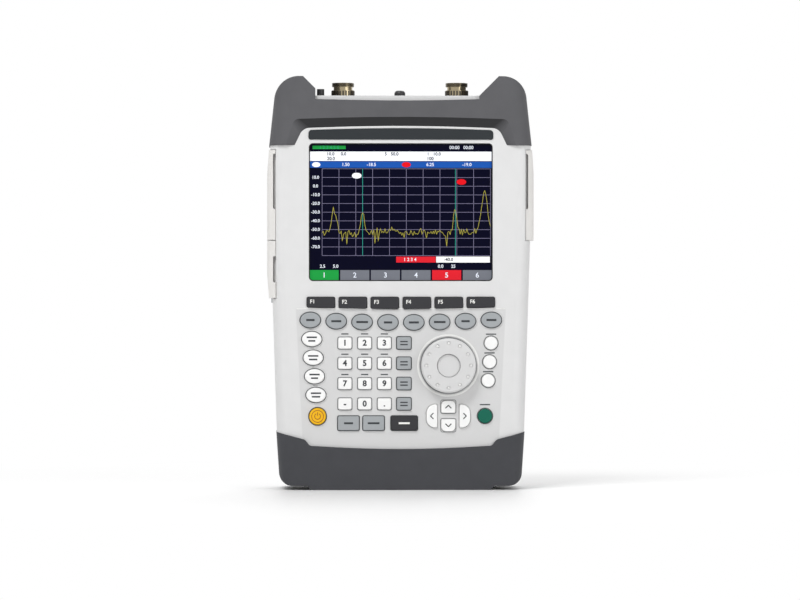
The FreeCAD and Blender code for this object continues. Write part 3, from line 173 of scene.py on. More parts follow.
# The keypad's field is painted a little darker than the rest: painted shade on the panel's face.
# It ends under the dark keys, and its sides lean inwards towards the foot.
FIELD_HALF, FIELD_LEAN, FIELD_TOP, FIELD_FRONT = 69.0 * MM, 0.0515, 131.2 * MM, -28.5 * MM
case_tree = case_abs.node_tree
case_place = add_node(case_tree, "ShaderNodeTexCoord")
case_axes = add_node(case_tree, "ShaderNodeSeparateXYZ", {}, {"Vector": case_place.outputs["Object"]})
case_out = add_node(case_tree, "ShaderNodeMath", {"operation": "ABSOLUTE"}, {0: case_axes.outputs["X"]})
case_lean = add_node(case_tree, "ShaderNodeMath", {"operation": "MULTIPLY", 1: -FIELD_LEAN},
                     {0: case_axes.outputs["Z"]})
case_reach = add_node(case_tree, "ShaderNodeMath", {"operation": "ADD"},
                      {0: case_out.outputs["Value"], 1: case_lean.outputs["Value"]})
inside_sides, inside_top, inside_front = [
    add_node(case_tree, "ShaderNodeMapRange", {"From Min": start, "From Max": end}, {"Value": source})
    for source, start, end in ((case_reach.outputs["Value"], FIELD_HALF + 0.8 * MM, FIELD_HALF),
                               (case_axes.outputs["Z"], FIELD_TOP, FIELD_TOP - 0.6 * MM),
                               (case_axes.outputs["Y"], FIELD_FRONT, FIELD_FRONT - 0.3 * MM))]
inside_outline = add_node(case_tree, "ShaderNodeMath", {"operation": "MULTIPLY"},
                          {0: inside_sides.outputs["Result"], 1: inside_top.outputs["Result"]})
painted_field_shade = add_node(case_tree, "ShaderNodeMath", {"operation": "MULTIPLY"},
                        {0: inside_outline.outputs["Value"], 1: inside_front.outputs["Result"]})
# painted shade: the field takes a darker grey than the rest of the case
toned(case_abs, painted_field_shade.outputs["Value"], "#d3d3d3")

# The bumpers: moulded rubber sleeves pulled over the case's two ends, the upper one with two ears.
# They take the knocks, so they are thick, with well rounded edges.
DOWN_SHADE_START, DOWN_SHADE_FULL = -0.08, -0.3
# moulded rubber: dark and matt, slightly uneven
rubber = moulded("moulded_rubber", "#5b5b5e", roughness=0.62, grain_mm=0.5, bump=0.22, mottle=0.10,
                 edge_mm=0.9, gloss=0.3)
# faces that look down are painted darker: painted shade where less light falls on them
rubber_tree = rubber.node_tree
rubber_place = add_node(rubber_tree, "ShaderNodeTexCoord")
rubber_down = add_node(rubber_tree, "ShaderNodeSeparateXYZ", {}, {"Vector": rubber_place.outputs["Normal"]})
rubber_down_shade = add_node(rubber_tree, "ShaderNodeMapRange",
                        {"From Min": DOWN_SHADE_START, "From Max": DOWN_SHADE_FULL},
                        {"Value": rubber_down.outputs["Z"]})
# painted shade on the rubber's downward faces
toned(rubber, rubber_down_shade.outputs["Result"], "#232325")
dress("bumper_rubber", rubber)
# the foot's rubber is a little darker than the upper bumper's, and as matt
dress("bottom_bumper", moulded("dark_moulded_rubber", "#414246", roughness=0.6, grain_mm=0.5, bump=0.22,
                               mottle=0.10, edge_mm=0.9, gloss=0.3))

# The side flaps: soft thermoplastic rubber covers that close the sockets on the sides.
# They are moulded a little warmer and paler than the case, and look soft and matt.
dress("flap_rubber", moulded("soft_tpe", "#e8e6e3", roughness=0.5, grain_mm=0.4, bump=0.15, mottle=0.04,
                             edge_mm=0.6))

# The name plate: a strip of acrylic, printed dark on its back and glued into the panel.
# It is smooth, satin and bare.
dress("plate_acrylic", moulded("printed_acrylic", "#2f3336", roughness=0.3, grain_mm=1.0, bump=0.02,
                               mottle=0.06, gloss=0.2))

# The small pieces and those inside: frames, key mat, boards, battery, screws, pins and sockets.
# Most of them show only through gaps or under the flaps, so each has its material's plain finish.
# bent aluminium: a dull, pale metal shine
dress("display_frame", moulded("bent_aluminium", "#c4c6ca", roughness=0.35, grain_mm=0.3, bump=0.08,
                               mottle=0.05, edge_mm=0.3, metallic=1.0))
# silicone sheet: pale and matt
dress("mat_silicone", moulded("mat_silicone", "#d8d8d4", roughness=0.6, grain_mm=0.4, bump=0.1, mottle=0.05))
# fibreglass under green solder mask: half gloss, with cloudy green
dress("circuit_board", moulded("solder_mask", "#1d5a34", roughness=0.4, grain_mm=0.6, bump=0.1, mottle=0.15))
# shrink film round the cells: smooth and dark blue
dress("battery_wrap", moulded("shrink_film", "#27303f", roughness=0.3, grain_mm=0.8, bump=0.05, mottle=0.08))
# drawn steel: a bright metal with sharp highlights
dress("pin_steel", moulded("drawn_steel", "#b8babd", roughness=0.28, grain_mm=0.3, bump=0.08, mottle=0.08,
                           edge_mm=0.1, metallic=1.0))
# moulded nylon: satin black
dress("black_nylon", moulded("black_nylon", "#1c1c1e", roughness=0.45, grain_mm=0.4, bump=0.1, mottle=0.1,
                             edge_mm=0.2))

# The display: a clear acrylic window over a dark panel that gives off the picture.
# The picture is a plain plot, drawn as thin lit marks on the window's face.
# a print stands a hair in front of its face, so that no two faces share a plane
HAIR = 0.001 * MM
MARK_DEPTH = 0.05 * MM
PIXEL_LINE = 0.4 * MM
SCREEN_WIDTH, SCREEN_TALL = 133.4 * MM, 100.0 * MM
window_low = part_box("display_window")[0]
SCREEN_FACE = window_low[1]
SCREEN_LEFT = -SCREEN_WIDTH / 2
SCREEN_LOW = window_low[2] + 3.0 * MM


def lit(name, colour):
    """A colour that the display gives off; the screen keeps its level in any light."""
    made = bpy.data.materials.new(name)
    made.use_nodes = True
    tree = made.node_tree
    shader = tree.nodes["Principled BSDF"]
    shader.inputs["Roughness"].default_value = 0.3
    shader.inputs["Specular IOR Level"].default_value = 0.06
    shader.inputs["Emission Strength"].default_value = 0.25
    place = add_node(tree, "ShaderNodeTexCoord")
    weave = add_node(tree, "ShaderNodeTexWave", {"Scale": 1 / PIXEL_LINE, "bands_direction": "Z"},
                     {"Vector": place.outputs["Object"]})
    ramp = add_node(tree, "ShaderNodeValToRGB", {}, {"Fac": weave.outputs["Fac"]})
    base = linear(colour)
    ramp.color_ramp.elements[0].color = [value * 0.9 for value in base[:3]] + [1.0]
    ramp.color_ramp.elements[1].color = base
    tree.links.new(ramp.outputs["Color"], shader.inputs["Base Color"])
    tree.links.new(ramp.outputs["Color"], shader.inputs["Emission Color"])
    return made


def finished(name, bm, material, body, smooth=False):
    """Turn a bmesh into a piece that rides on a body."""
    bmesh.ops.recalc_face_normals(bm, faces=bm.faces)
    mesh = bpy.data.meshes.new(name)
    bm.to_mesh(mesh)
    bm.free()
    piece = bpy.data.objects.new(name, mesh)
    bpy.context.scene.collection.objects.link(piece)
    mesh.materials.append(material)
    if smooth:
        mesh.shade_smooth()
    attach(piece, body)
    return piece


def slab(bm, x0, x1, y0, y1, z0, z1, turn=0.0):
    """Add one thin block to a bmesh, turned about Y through its middle."""
    size = Vector((x1 - x0, y1 - y0, z1 - z0))
    middle = Vector(((x0 + x1) / 2, (y0 + y1) / 2, (z0 + z1) / 2))
    shape = Matrix.Translation(middle) @ Matrix.Rotation(turn, 4, "Y") @ Matrix.Diagonal((*size, 1.0))
    bmesh.ops.create_cube(bm, size=1.0, matrix=shape)


def screen_marks(name, marks, colour, layer=0):
    """Flat marks on the screen, given as shares of its width and height from the lower left."""
    bm = bmesh.new()
    front = SCREEN_FACE - MARK_DEPTH * (layer + 1)
    for u0, u1, v0, v1 in marks:
        slab(bm, SCREEN_LEFT + u0 * SCREEN_WIDTH, SCREEN_LEFT + u1 * SCREEN_WIDTH, front, SCREEN_FACE - HAIR,
             SCREEN_LOW + v0 * SCREEN_TALL, SCREEN_LOW + v1 * SCREEN_TALL)
    finished(name, bm, lit(name + "_light", colour), "case")


# the window: nearly black behind its soft gloss
dress("window_glass", moulded("clear_window", "#02021c", roughness=0.2, grain_mm=2.0, bump=0.0, mottle=0.05,
                              edge_mm=0.1, gloss=0.06))
# the plot's grid, with half the width of its lines, then the coloured bands above and below it
PLOT_LEFT, PLOT_RIGHT, PLOT_LOW, PLOT_TOP = 0.072, 0.988, 0.185, 0.815
DIVISIONS = 10
HALF_ACROSS, HALF_UP = 0.0011, 0.00143
grid = []
for index in range(DIVISIONS + 1):
    u = PLOT_LEFT + (PLOT_RIGHT - PLOT_LEFT) * index / DIVISIONS
    grid.append((u - HALF_ACROSS, u + HALF_ACROSS, PLOT_LOW, PLOT_TOP))
for index in range(DIVISIONS + 1):
    v = PLOT_LOW + (PLOT_TOP - PLOT_LOW) * index / DIVISIONS
    grid.append((PLOT_LEFT, PLOT_RIGHT, v - HALF_UP, v + HALF_UP))
SOFTKEYS = 6
softkey_bars = [(0.004 + index / SOFTKEYS, 0.162 + index / SOFTKEYS, 0.004, 0.08)
                for index in range(SOFTKEYS)]
FIELD_BAND = (0.135, 0.178)
MARKER_WIDE = 0.0025
screen_marks("screen_grid", grid, "#7c7894")
screen_marks("screen_header", [(0.0, 1.0, 0.872, 0.94)], "#f2f4f8")
screen_marks("screen_value_band", [(0.0, 1.0, 0.822, 0.868)], "#1c50a4")
screen_marks("screen_green_bars", [(0.02, 0.2, 0.958, 0.982), softkey_bars[0]], "#1f9440")
screen_marks("screen_grey_bars", [softkey_bars[index] for index in (1, 2, 3, 5)], "#6d7078")
screen_marks("screen_red_bars", [softkey_bars[4], (0.475, 0.69, *FIELD_BAND)], "#d2222e")
screen_marks("screen_white_field", [(0.693, 0.985, *FIELD_BAND)], "#f4f4f4")
screen_marks("screen_marker_lines", [(u, u + MARKER_WIDE, PLOT_LOW, PLOT_TOP) for u in (0.291, 0.796)],
             "#2f9c8c", 1)

# The screen's trace: a noise floor with a few peaks, drawn as short thin lit strokes.
# Levels are shares of the plot's height. A peak has its place along the plot, its rise and its width.
STEPS = 150
PEAKS = [(0.07, 0.30, 0.018), (0.24, 0.28, 0.016), (0.42, 0.06, 0.02), (0.79, 0.27, 0.015),
         (0.965, 0.46, 0.025)]
NOISE_FLOOR, NOISE_DOWN, NOISE_UP = 0.27, -0.045, 0.035
SWELL, SWELL_RATE = 0.02, 23
DIP, DIP_CHANCE = 0.12, 0.07
TRACE_FORWARD, TRACE_HALF_DEPTH = 0.09 * MM, 0.02 * MM
STROKE_HALF, STROKE_LAP = 0.17 * MM, 0.1 * MM
random.seed(12)
levels = []
for index in range(STEPS + 1):
    share = index / STEPS
    height = NOISE_FLOOR + random.uniform(NOISE_DOWN, NOISE_UP) + SWELL * math.sin(share * SWELL_RATE)
    if random.random() < DIP_CHANCE:
        height -= DIP
    for centre, rise, spread in PEAKS:
        height += rise * math.exp(-((share - centre) / spread) ** 2)
    levels.append(height)
plot_width = (PLOT_RIGHT - PLOT_LEFT) * SCREEN_WIDTH
plot_tall = (PLOT_TOP - PLOT_LOW) * SCREEN_TALL
plot_corner = Vector((SCREEN_LEFT + PLOT_LEFT * SCREEN_WIDTH, SCREEN_FACE - TRACE_FORWARD,
                      SCREEN_LOW + PLOT_LOW * SCREEN_TALL))
bm = bmesh.new()
for index in range(STEPS):
    start = Vector((index / STEPS * plot_width, 0, levels[index] * plot_tall))
    end = Vector(((index + 1) / STEPS * plot_width, 0, levels[index + 1] * plot_tall))
    middle = plot_corner + (start + end) / 2
    run = end - start
    half = run.length / 2 + STROKE_LAP
    slab(bm, middle.x - half, middle.x + half, middle.y - TRACE_HALF_DEPTH, middle.y + TRACE_HALF_DEPTH,
         middle.z - STROKE_HALF, middle.z + STROKE_HALF, -math.atan2(run.z, run.x))
finished("screen_trace", bm, lit("screen_trace_light", "#a8a044"), "case")

# The screen's numbers: the plot's scale, plain readings and the numbers of the dark keys.
# They are lit like the rest of the picture and stand a hair in front of it.
TEXT_HALF_DEPTH, TEXT_FORWARD = 0.03 * MM, 0.028 * MM
NUMBER_FORWARD, NUMBER_BOLD = 0.12 * MM, 0.06 * MM


def letters(name, text, x, z, tall, face, ink_used, body, bold):
    """Numbers or signs printed on a face that looks to the front."""
    curve = bpy.data.curves.new(name, "FONT")
    curve.body = text
    curve.size = tall
    curve.align_x = "CENTER"
    curve.align_y = "CENTER"
    curve.extrude = TEXT_HALF_DEPTH
    curve.offset = bold
    curve.resolution_u = 4
    holder = bpy.data.objects.new(name + "_curve", curve)
    bpy.context.scene.collection.objects.link(holder)
    bpy.context.view_layer.update()
    mesh = bpy.data.meshes.new_from_object(holder)
    bpy.data.objects.remove(holder)
    mesh.transform(Matrix.Translation((x, face - TEXT_FORWARD, z)) @ Matrix.Rotation(math.pi / 2, 4, "X"))
    mesh.materials.clear()
    mesh.materials.append(ink_used)
    piece = bpy.data.objects.new(name, mesh)
    bpy.context.scene.collection.objects.link(piece)
    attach(piece, body)


def screen_number(name, text, u, v, tall, light):
    """A number on the screen, placed by shares of its width and height."""
    letters(name, text, SCREEN_LEFT + u * SCREEN_WIDTH, SCREEN_LOW + v * SCREEN_TALL, tall,
            SCREEN_FACE - NUMBER_FORWARD, light, "case", NUMBER_BOLD)


navy_light = lit("navy_text_light", "#1c2438")
pale_light = lit("pale_text_light", "#dfe4ee")
green_light = lit("green_text_light", "#2fa06c")
for index in range(1, DIVISIONS):
    v = PLOT_LOW + (PLOT_TOP - PLOT_LOW) * index / DIVISIONS
    screen_number(f"scale_{index}", f"{(index - 8) * 10}.0", 0.036, v, 3.1 * MM, pale_light)
for index in range(SOFTKEYS):
    screen_number(f"softkey_{index}", str(index + 1), 0.083 + index / SOFTKEYS, 0.042, 5.2 * MM, pale_light)
for index, (text, u, v, light) in enumerate([
        ("1 2 3 4 5 6", 0.11, 0.969, green_light), ("00:00   00:00", 0.83, 0.969, pale_light),
        ("10.0     0.0", 0.15, 0.922, navy_light), ("5   50.0", 0.45, 0.922, navy_light),
        ("1   10.0", 0.68, 0.922, navy_light), ("20.0", 0.12, 0.889, navy_light),
        ("100", 0.66, 0.889, navy_light), ("1.50", 0.2, 0.845, pale_light),
        ("-18.5", 0.34, 0.845, pale_light), ("6.25", 0.66, 0.845, pale_light),
        ("-19.0", 0.86, 0.845, pale_light), ("1 2 3 4", 0.55, 0.156, pale_light),
        ("-40.0", 0.76, 0.156, navy_light), ("2.5      5.0", 0.11, 0.107, pale_light),
        ("0.0      25", 0.75, 0.107, pale_light)]):
    screen_number(f"reading_{index}", text, u, v, 3.3 * MM, light)

# The screen's markers: small lit ovals beside the marker lines and in the value band.
# Each is a thin disc, flattened to an oval.
SPOT_DEPTH, SPOT_FORWARD, SPOT_FLATNESS = 0.02 * MM, 0.1 * MM, 0.6


def raised(bm, faces, rise):
    """Extrude faces along Z and give back the new faces."""
    grown = bmesh.ops.extrude_face_region(bm, geom=faces)["geom"]
    verts = [item for item in grown if isinstance(item, bmesh.types.BMVert)]
    bmesh.ops.translate(bm, verts=verts, vec=(0, 0, rise))
    return [item for item in grown if isinstance(item, bmesh.types.BMFace)]


def faced_front(bm, place):
    """Turn a bmesh that was drawn flat to face the front, and put it in its place."""
    bmesh.ops.rotate(bm, verts=bm.verts, cent=(0, 0, 0), matrix=Matrix.Rotation(math.pi / 2, 3, "X"))
    bmesh.ops.translate(bm, verts=bm.verts, vec=place)


def screen_spot(name, u, v, wide, light):
    """A small oval marker on the screen."""
    bm = bmesh.new()
    bmesh.ops.create_circle(bm, cap_ends=True, segments=32, radius=0.5)
    raised(bm, bm.faces[:], SPOT_DEPTH)
    bmesh.ops.scale(bm, vec=(wide, wide * SPOT_FLATNESS, 1.0), verts=bm.verts)
    faced_front(bm, (SCREEN_LEFT + u * SCREEN_WIDTH, SCREEN_FACE - SPOT_FORWARD,
                     SCREEN_LOW + v * SCREEN_TALL))
    finished(name, bm, light, "case")


red_light = lit("red_marker_light", "#d8141e")
white_light = lit("white_marker_light", "#f0f2f6")
screen_spot("marker_white", 0.26, 0.765, 7.0 * MM, white_light)
screen_spot("marker_red", 0.83, 0.72, 7.0 * MM, red_light)
screen_spot("band_red", 0.53, 0.845, 6.5 * MM, red_light)
screen_spot("band_white", 0.04, 0.845, 6.0 * MM, white_light)

# The display's border: a thin dark ring that lines the opening in the panel.
# It is painted shade, the shadow in the recess round the window, laid on the window's face.
SHADE_RING_CORNER, SHADE_RING_BAND, SHADE_RING_THICK = 3.0 * MM, 0.7 * MM, 0.4 * MM


def frame_ring(name, x, z, width, height, corner, band, y, thick, material):
    """A flat ring with round corners on the case: a line round a key, or the display's painted recess shade.
    """
    bm = bmesh.new()
    bmesh.ops.create_grid(bm, x_segments=1, y_segments=1, size=0.5)
    bmesh.ops.scale(bm, vec=(width, height, 1.0), verts=bm.verts)
    bmesh.ops.bevel(bm, geom=bm.verts[:], offset=corner, segments=8, profile=0.5, affect="VERTICES",
                    material=-1)
    bmesh.ops.inset_region(bm, faces=bm.faces[:], thickness=band, use_even_offset=True, use_boundary=True)
    inner = max(bm.faces, key=lambda face: len(face.verts))
    bmesh.ops.delete(bm, geom=[inner], context="FACES")
    raised(bm, bm.faces[:], thick)
    faced_front(bm, (x, y, z))
    finished(name, bm, material, "case")


# painted shade in the display's recess: black and quite matt
recess_shade = moulded("black_recess_shade", "#17181a", roughness=0.8, grain_mm=0.3, bump=0.2, mottle=0.1)
frame_ring("display_recess_shade", 0, SCREEN_LOW + SCREEN_TALL / 2, SCREEN_WIDTH - 0.1 * MM, SCREEN_TALL - 0.1 * MM,
           SHADE_RING_CORNER, SHADE_RING_BAND, SCREEN_FACE - HAIR * 2, SHADE_RING_THICK, recess_shade)

# The function keys: six dark silicone keys under the display, which press on the key mat.
# Each is a moulded cap with a flange, and has its number in pale print in its upper left part.
FLANGE_LIP = 0.9 * MM
BOLD = 0.2 * MM


def key_face(node):
    """A key's middle, its cap's width and height, and the plane of its top."""
    low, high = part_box(node)
    width = high[0] - low[0] - FLANGE_LIP * 2
    height = high[2] - low[2] - FLANGE_LIP * 2
    return (low[0] + high[0]) / 2, (low[2] + high[2]) / 2, width, height, low[1]


# dark silicone: satin, with a soft highlight along its edges
dress("dark_key_silicone", moulded("dark_silicone", "#353538", roughness=0.5, grain_mm=0.3, bump=0.1,
                                   mottle=0.06, gloss=0.25))
# screen-printed white ink: flat and even
white_ink = moulded("white_ink", "#f4f4f0", roughness=0.5, grain_mm=0.5, bump=0.02, mottle=0.02)
for index in range(6):
    node = f"function_key_{index + 1}"
    x, z, width, height, face = key_face(node)
    letters(node + "_sign", f"F{index + 1}", x - width * 0.3, z + height * 0.08, 3.9 * MM, face, white_ink,
            node, BOLD * 0.5)

# The oval keys: eight grey mode keys in a bowed row and four white menu keys down the left side.
# Each is a silicone cap with a slightly domed top, and a flange behind the panel keeps it in its hole.
PANEL = -29.0 * MM
PRINT = 0.06 * MM
EDGES = 64
CAP_DEPTH = 2.5 * MM
TOP_INSETS = (0.15 * MM, 0.25 * MM, 0.35 * MM)
DOME_DROP, DOME_START = 0.32 * MM, 0.74
OVAL_GAP, OVAL_LINE, COLLAR_BAND = 0.25 * MM, 0.4 * MM, 1.1 * MM


def oval_cap(node, silicone):
    """An oval domed cap with its flange, which stands for the node of the same key."""
    x, z, width, height, face = key_face(node)
    depth = PANEL + CAP_DEPTH - face
    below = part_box(node)[1][1] - face - depth
    bm = bmesh.new()
    bmesh.ops.create_circle(bm, cap_ends=True, segments=EDGES, radius=0.5)
    bmesh.ops.scale(bm, vec=(width, height, 1.0), verts=bm.verts)
    top = raised(bm, bm.faces[:], depth)
    for inward in TOP_INSETS:
        bmesh.ops.inset_region(bm, faces=top, thickness=inward, use_even_offset=True)
    for vert in bm.verts:
        if vert.co.z > depth * 0.5:
            share = (vert.co.x / (width / 2)) ** 2 + (vert.co.y / (height / 2)) ** 2
            vert.co.z -= DOME_DROP * max(0.0, (share - DOME_START) / (1 - DOME_START)) ** 2
    flange_place = (Matrix.Diagonal((width + FLANGE_LIP * 2, height + FLANGE_LIP * 2, 1.0, 1.0))
                    @ Matrix.Translation((0, 0, -below)))
    bmesh.ops.create_circle(bm, cap_ends=True, segments=EDGES, radius=0.5, matrix=flange_place)
    flange = [disc for disc in bm.faces
              if disc.calc_center_median().z < -0.5 * MM and len(disc.verts) == EDGES]
    raised(bm, flange, below)
    faced_front(bm, (x, face + depth, z))
    cap = finished(node + "_cap", bm, silicone, node)
    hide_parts(node)


def oval_band(name, node, clear, band, material):
    """An oval band on the panel, a little outside the gap that the key moves in; its colour is partly print
    and partly painted shade.
    """
    x, z, width, height, face = key_face(node)
    width, height = width + clear * 2, height + clear * 2
    bm = bmesh.new()
    rim = bmesh.ops.create_circle(bm, segments=EDGES, radius=0.5)["verts"]
    bmesh.ops.scale(bm, vec=(width, height, 1.0), verts=rim)
    outer = bmesh.ops.extrude_edge_only(bm, edges=bm.edges[:])["geom"]
    outer = [item for item in outer if isinstance(item, bmesh.types.BMVert)]
    bmesh.ops.scale(bm, vec=((width + band * 2) / width, (height + band * 2) / height, 1.0), verts=outer)
    raised(bm, bm.faces[:], PRINT)
    faced_front(bm, (x, PANEL - HAIR, z))
    finished(name, bm, material, "case")


def bars(name, marks, face, ink_used, body, slot):
    """Short flat bars, as print or as a painted highlight, given as middle, width and height."""
    bm = bmesh.new()
    for x, z, width, height in marks:
        slab(bm, x - width / 2, x + width / 2, face - MARK_DEPTH, face - HAIR, z - height / 2, z + height / 2)
    finished(name, bm, ink_used, body)


# silicone moulded in one colour: satin, with the colour right through
grey_silicone = moulded("grey_silicone", "#a4a8ab", roughness=0.5, grain_mm=0.3, bump=0.1, mottle=0.04,
                        gloss=0.25)
white_silicone = moulded("white_silicone", "#f6f6f5", roughness=0.5, grain_mm=0.3, bump=0.1, mottle=0.02,
                         gloss=0.25)
dress("grey_key_silicone", grey_silicone)
dress("white_key_silicone", white_silicone)
# screen-printed ink on the panel and on the keys: flat dark grey; on the panel it also draws the lines round
# keys, partly print and partly painted shadow of their gaps
print_and_gap_shade = moulded("dark_print_and_gap_shade", "#4c5153", roughness=0.5, grain_mm=0.5, bump=0.03, mottle=0.05)
dark_ink = moulded("dark_ink", "#2c3034", roughness=0.5, grain_mm=0.5, bump=0.02, mottle=0.04)
# print in the keypad field's painted-shade tone, which hides the corners of the solids' holes
panel_print = moulded("panel_print", "#d2d2d2", roughness=0.42, grain_mm=0.35, bump=0.12, mottle=0.03)
for kind, count, silicone, slot in (("mode_key", 8, grey_silicone, "grey_key_silicone"),
                                    ("menu_key", 4, white_silicone, "white_key_silicone")):
    for index in range(count):
        node = f"{kind}_{index + 1}"
        x, z, width, height, face = key_face(node)
        oval_cap(node, silicone)
        # the dark outline: partly print, partly painted shadow of the gap round the key
        oval_band(node + "_outline", node, OVAL_GAP, OVAL_LINE, print_and_gap_shade)
        oval_band(node + "_collar", node, OVAL_GAP + OVAL_LINE, COLLAR_BAND, panel_print)
        marks = [(x, z, (6.0 + (index % 3) * 1.2) * MM, 1.5 * MM)]
        if kind == "menu_key":
            marks = [(x, z + 1.3 * MM, 7.4 * MM, 1.1 * MM),
                     (x, z - 1.3 * MM, (5.0 + index % 2) * MM, 1.1 * MM)]
        bars(node + "_mark", marks, face, dark_ink, node, slot)

# The number keys, and the unit keys beside them: square silicone caps in four rows.
# The numbers are printed dark, and a thin line on the panel round each key is partly print and partly painted
# shadow of its gap.
DIGIT_ROWS = ("123", "456", "789", "-0.")
DIGIT_LEFT, DIGIT_PITCH, DIGIT_TOP, DIGIT_ROW_PITCH = -40.6 * MM, 14.3 * MM, 106.5 * MM, 14.7 * MM
DIGIT_WIDE, DIGIT_TALL = 9.7 * MM, 8.2 * MM
UNIT_COLUMN, UNIT_WIDE, UNIT_TALL = 2.2 * MM, 10.2 * MM, 8.7 * MM
UNIT_MARK_RISE, UNIT_MARK_WIDE = 1.1 * MM, 5.4 * MM
DIGIT_NOTE_RISE, DIGIT_NOTE_WIDE = 6.6 * MM, 5.2 * MM
NOTE_TALL = 0.9 * MM
LINE_GAP, LINE_BAND, LINE_CORNER = 0.2 * MM, 0.45 * MM, 1.6 * MM


def square_outline(name, x, z, width, height, line_ink):
    """A thin line round a square key, close to the gap that the key moves in: partly print, partly painted
    shadow of the gap.
    """
    grow = (LINE_GAP + LINE_BAND) * 2
    frame_ring(name, x, z, width + grow, height + grow, LINE_CORNER, LINE_BAND, PANEL - HAIR, PRINT,
               line_ink)


# grey ink, faint: the lines round the white keys are partly print and partly painted shadow of the gap, and
# the ring round the knob is painted shadow
shadow_ink = moulded("shadow_ink", "#7c7e81", roughness=0.6, grain_mm=0.5, bump=0.05, mottle=0.05)
digit_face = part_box("digit_keys")[0][1]
for row, line in enumerate(DIGIT_ROWS):
    z = DIGIT_TOP - DIGIT_ROW_PITCH * row
    for column, sign in enumerate(line):
        x = DIGIT_LEFT + DIGIT_PITCH * column
        letters(f"digit_{row}_{column}", sign, x, z, 5.8 * MM, digit_face, dark_ink, "digit_keys",
                BOLD)
        square_outline(f"digit_outline_{row}_{column}", x, z, DIGIT_WIDE, DIGIT_TALL, shadow_ink)
        if sign in "123456789":
            bars(f"digit_note_{row}_{column}", [(x, z + DIGIT_NOTE_RISE, DIGIT_NOTE_WIDE, NOTE_TALL)], PANEL,
                 print_and_gap_shade, "case", "case_abs")
    marks = [(UNIT_COLUMN, z + rise, UNIT_MARK_WIDE, NOTE_TALL) for rise in (UNIT_MARK_RISE, -UNIT_MARK_RISE)]
    bars(f"unit_mark_{row}", marks, digit_face, dark_ink, "unit_keys", "grey_key_silicone")
    square_outline(f"unit_outline_{row}", UNIT_COLUMN, z, UNIT_WIDE, UNIT_TALL, print_and_gap_shade)

# The wide keys under the numbers: two grey ones and a dark one, silicone like the others.
# Each has one printed bar on it, and the same line round it as the unit keys, partly print and partly painted
# shadow of its gap.
for node, mark_mm, ink_used, slot in (("back_key", 6.5, dark_ink, "grey_key_silicone"),
                                      ("cancel_key", 8.5, dark_ink, "grey_key_silicone"),
                                      ("enter_key", 8.0, white_ink, "dark_key_silicone")):
    x, z, width, height, face = key_face(node)
    square_outline(node + "_outline", x, z, width, height, print_and_gap_shade)
    bars(node + "_mark", [(x, z, mark_mm * MM, 1.4 * MM)], face, ink_used, node, slot)

# The cursor keys: four white silicone keys set round a middle, with an arrow printed on each.
# An arrow is two dark strokes that meet in a point.
ARM, ARM_WIDE = 3.1 * MM, 0.75 * MM
# the up and down keys have a grey line round them: partly print, partly painted shadow of the gap
for node in ("up_key", "down_key"):
    x, z, width, height, face = key_face(node)
    square_outline(node + "_outline", x, z, width, height, shadow_ink)
for node, turn in (("up_key", 0), ("right_key", 90), ("down_key", 180), ("left_key", 270)):
    x, z, width, height, face = key_face(node)
    bm = bmesh.new()
    for lean in (-1, 1):
        shape = (Matrix.Translation((x, face - 0.02 * MM, z)) @ Matrix.Rotation(math.radians(turn), 4, "Y")
                 @ Matrix.Translation((lean * ARM * 0.34, 0, 0))
                 @ Matrix.Rotation(math.radians(45) * lean, 4, "Y")
                 @ Matrix.Diagonal((ARM, MARK_DEPTH, ARM_WIDE, 1.0)))
        bmesh.ops.create_cube(bm, size=1.0, matrix=shape)
    finished(node + "_arrow", bm, dark_ink, node)

# The round keys: the yellow power key, the green preset key and three white side keys.
# They are silicone caps in dark rims, partly print and partly painted shadow of the gap round each, and the
# power key has its sign in orange print.
ROUND_NOTE_WIDE = 7.5 * MM


def arc_band(name, x, z, radius, band, y, material, body, slot, thick=0.05 * MM, start=0, end=360):
    """A flat band along a circle or a part of one, facing the front."""
    bm = bmesh.new()
    inner, outer = radius - band / 2, radius + band / 2
    corners = ((inner, 0, 0), (outer, 0, 0), (outer, -thick, 0), (inner, -thick, 0))
    profile = [bm.verts.new(corner) for corner in corners]
    loop = [bm.edges.new((profile[i], profile[(i + 1) % 4])) for i in range(4)]
    full = end - start >= 360
    bmesh.ops.rotate(bm, verts=bm.verts, cent=(0, 0, 0), matrix=Matrix.Rotation(-math.radians(start), 3, "Y"))
    bmesh.ops.spin(bm, geom=profile + loop, cent=(0, 0, 0), axis=(0, -1, 0), angle=math.radians(end - start),
                   steps=64 if full else 40, use_merge=full)
    if not full:
        bmesh.ops.holes_fill(bm, edges=bm.edges[:], sides=4)
    bmesh.ops.remove_doubles(bm, verts=bm.verts, dist=1e-7)
    bmesh.ops.translate(bm, verts=bm.verts, vec=(x, y, z))
    finished(name, bm, material, body)


# coloured silicone: satin, with a strong and even colour
dress("yellow_key_silicone", moulded("yellow_silicone", "#f4bb18", roughness=0.48, grain_mm=0.3, bump=0.1,
                                     mottle=0.05, gloss=0.25))
dress("green_key_silicone", moulded("green_silicone", "#086450", roughness=0.48, grain_mm=0.3, bump=0.1,
                                    mottle=0.06, gloss=0.25))
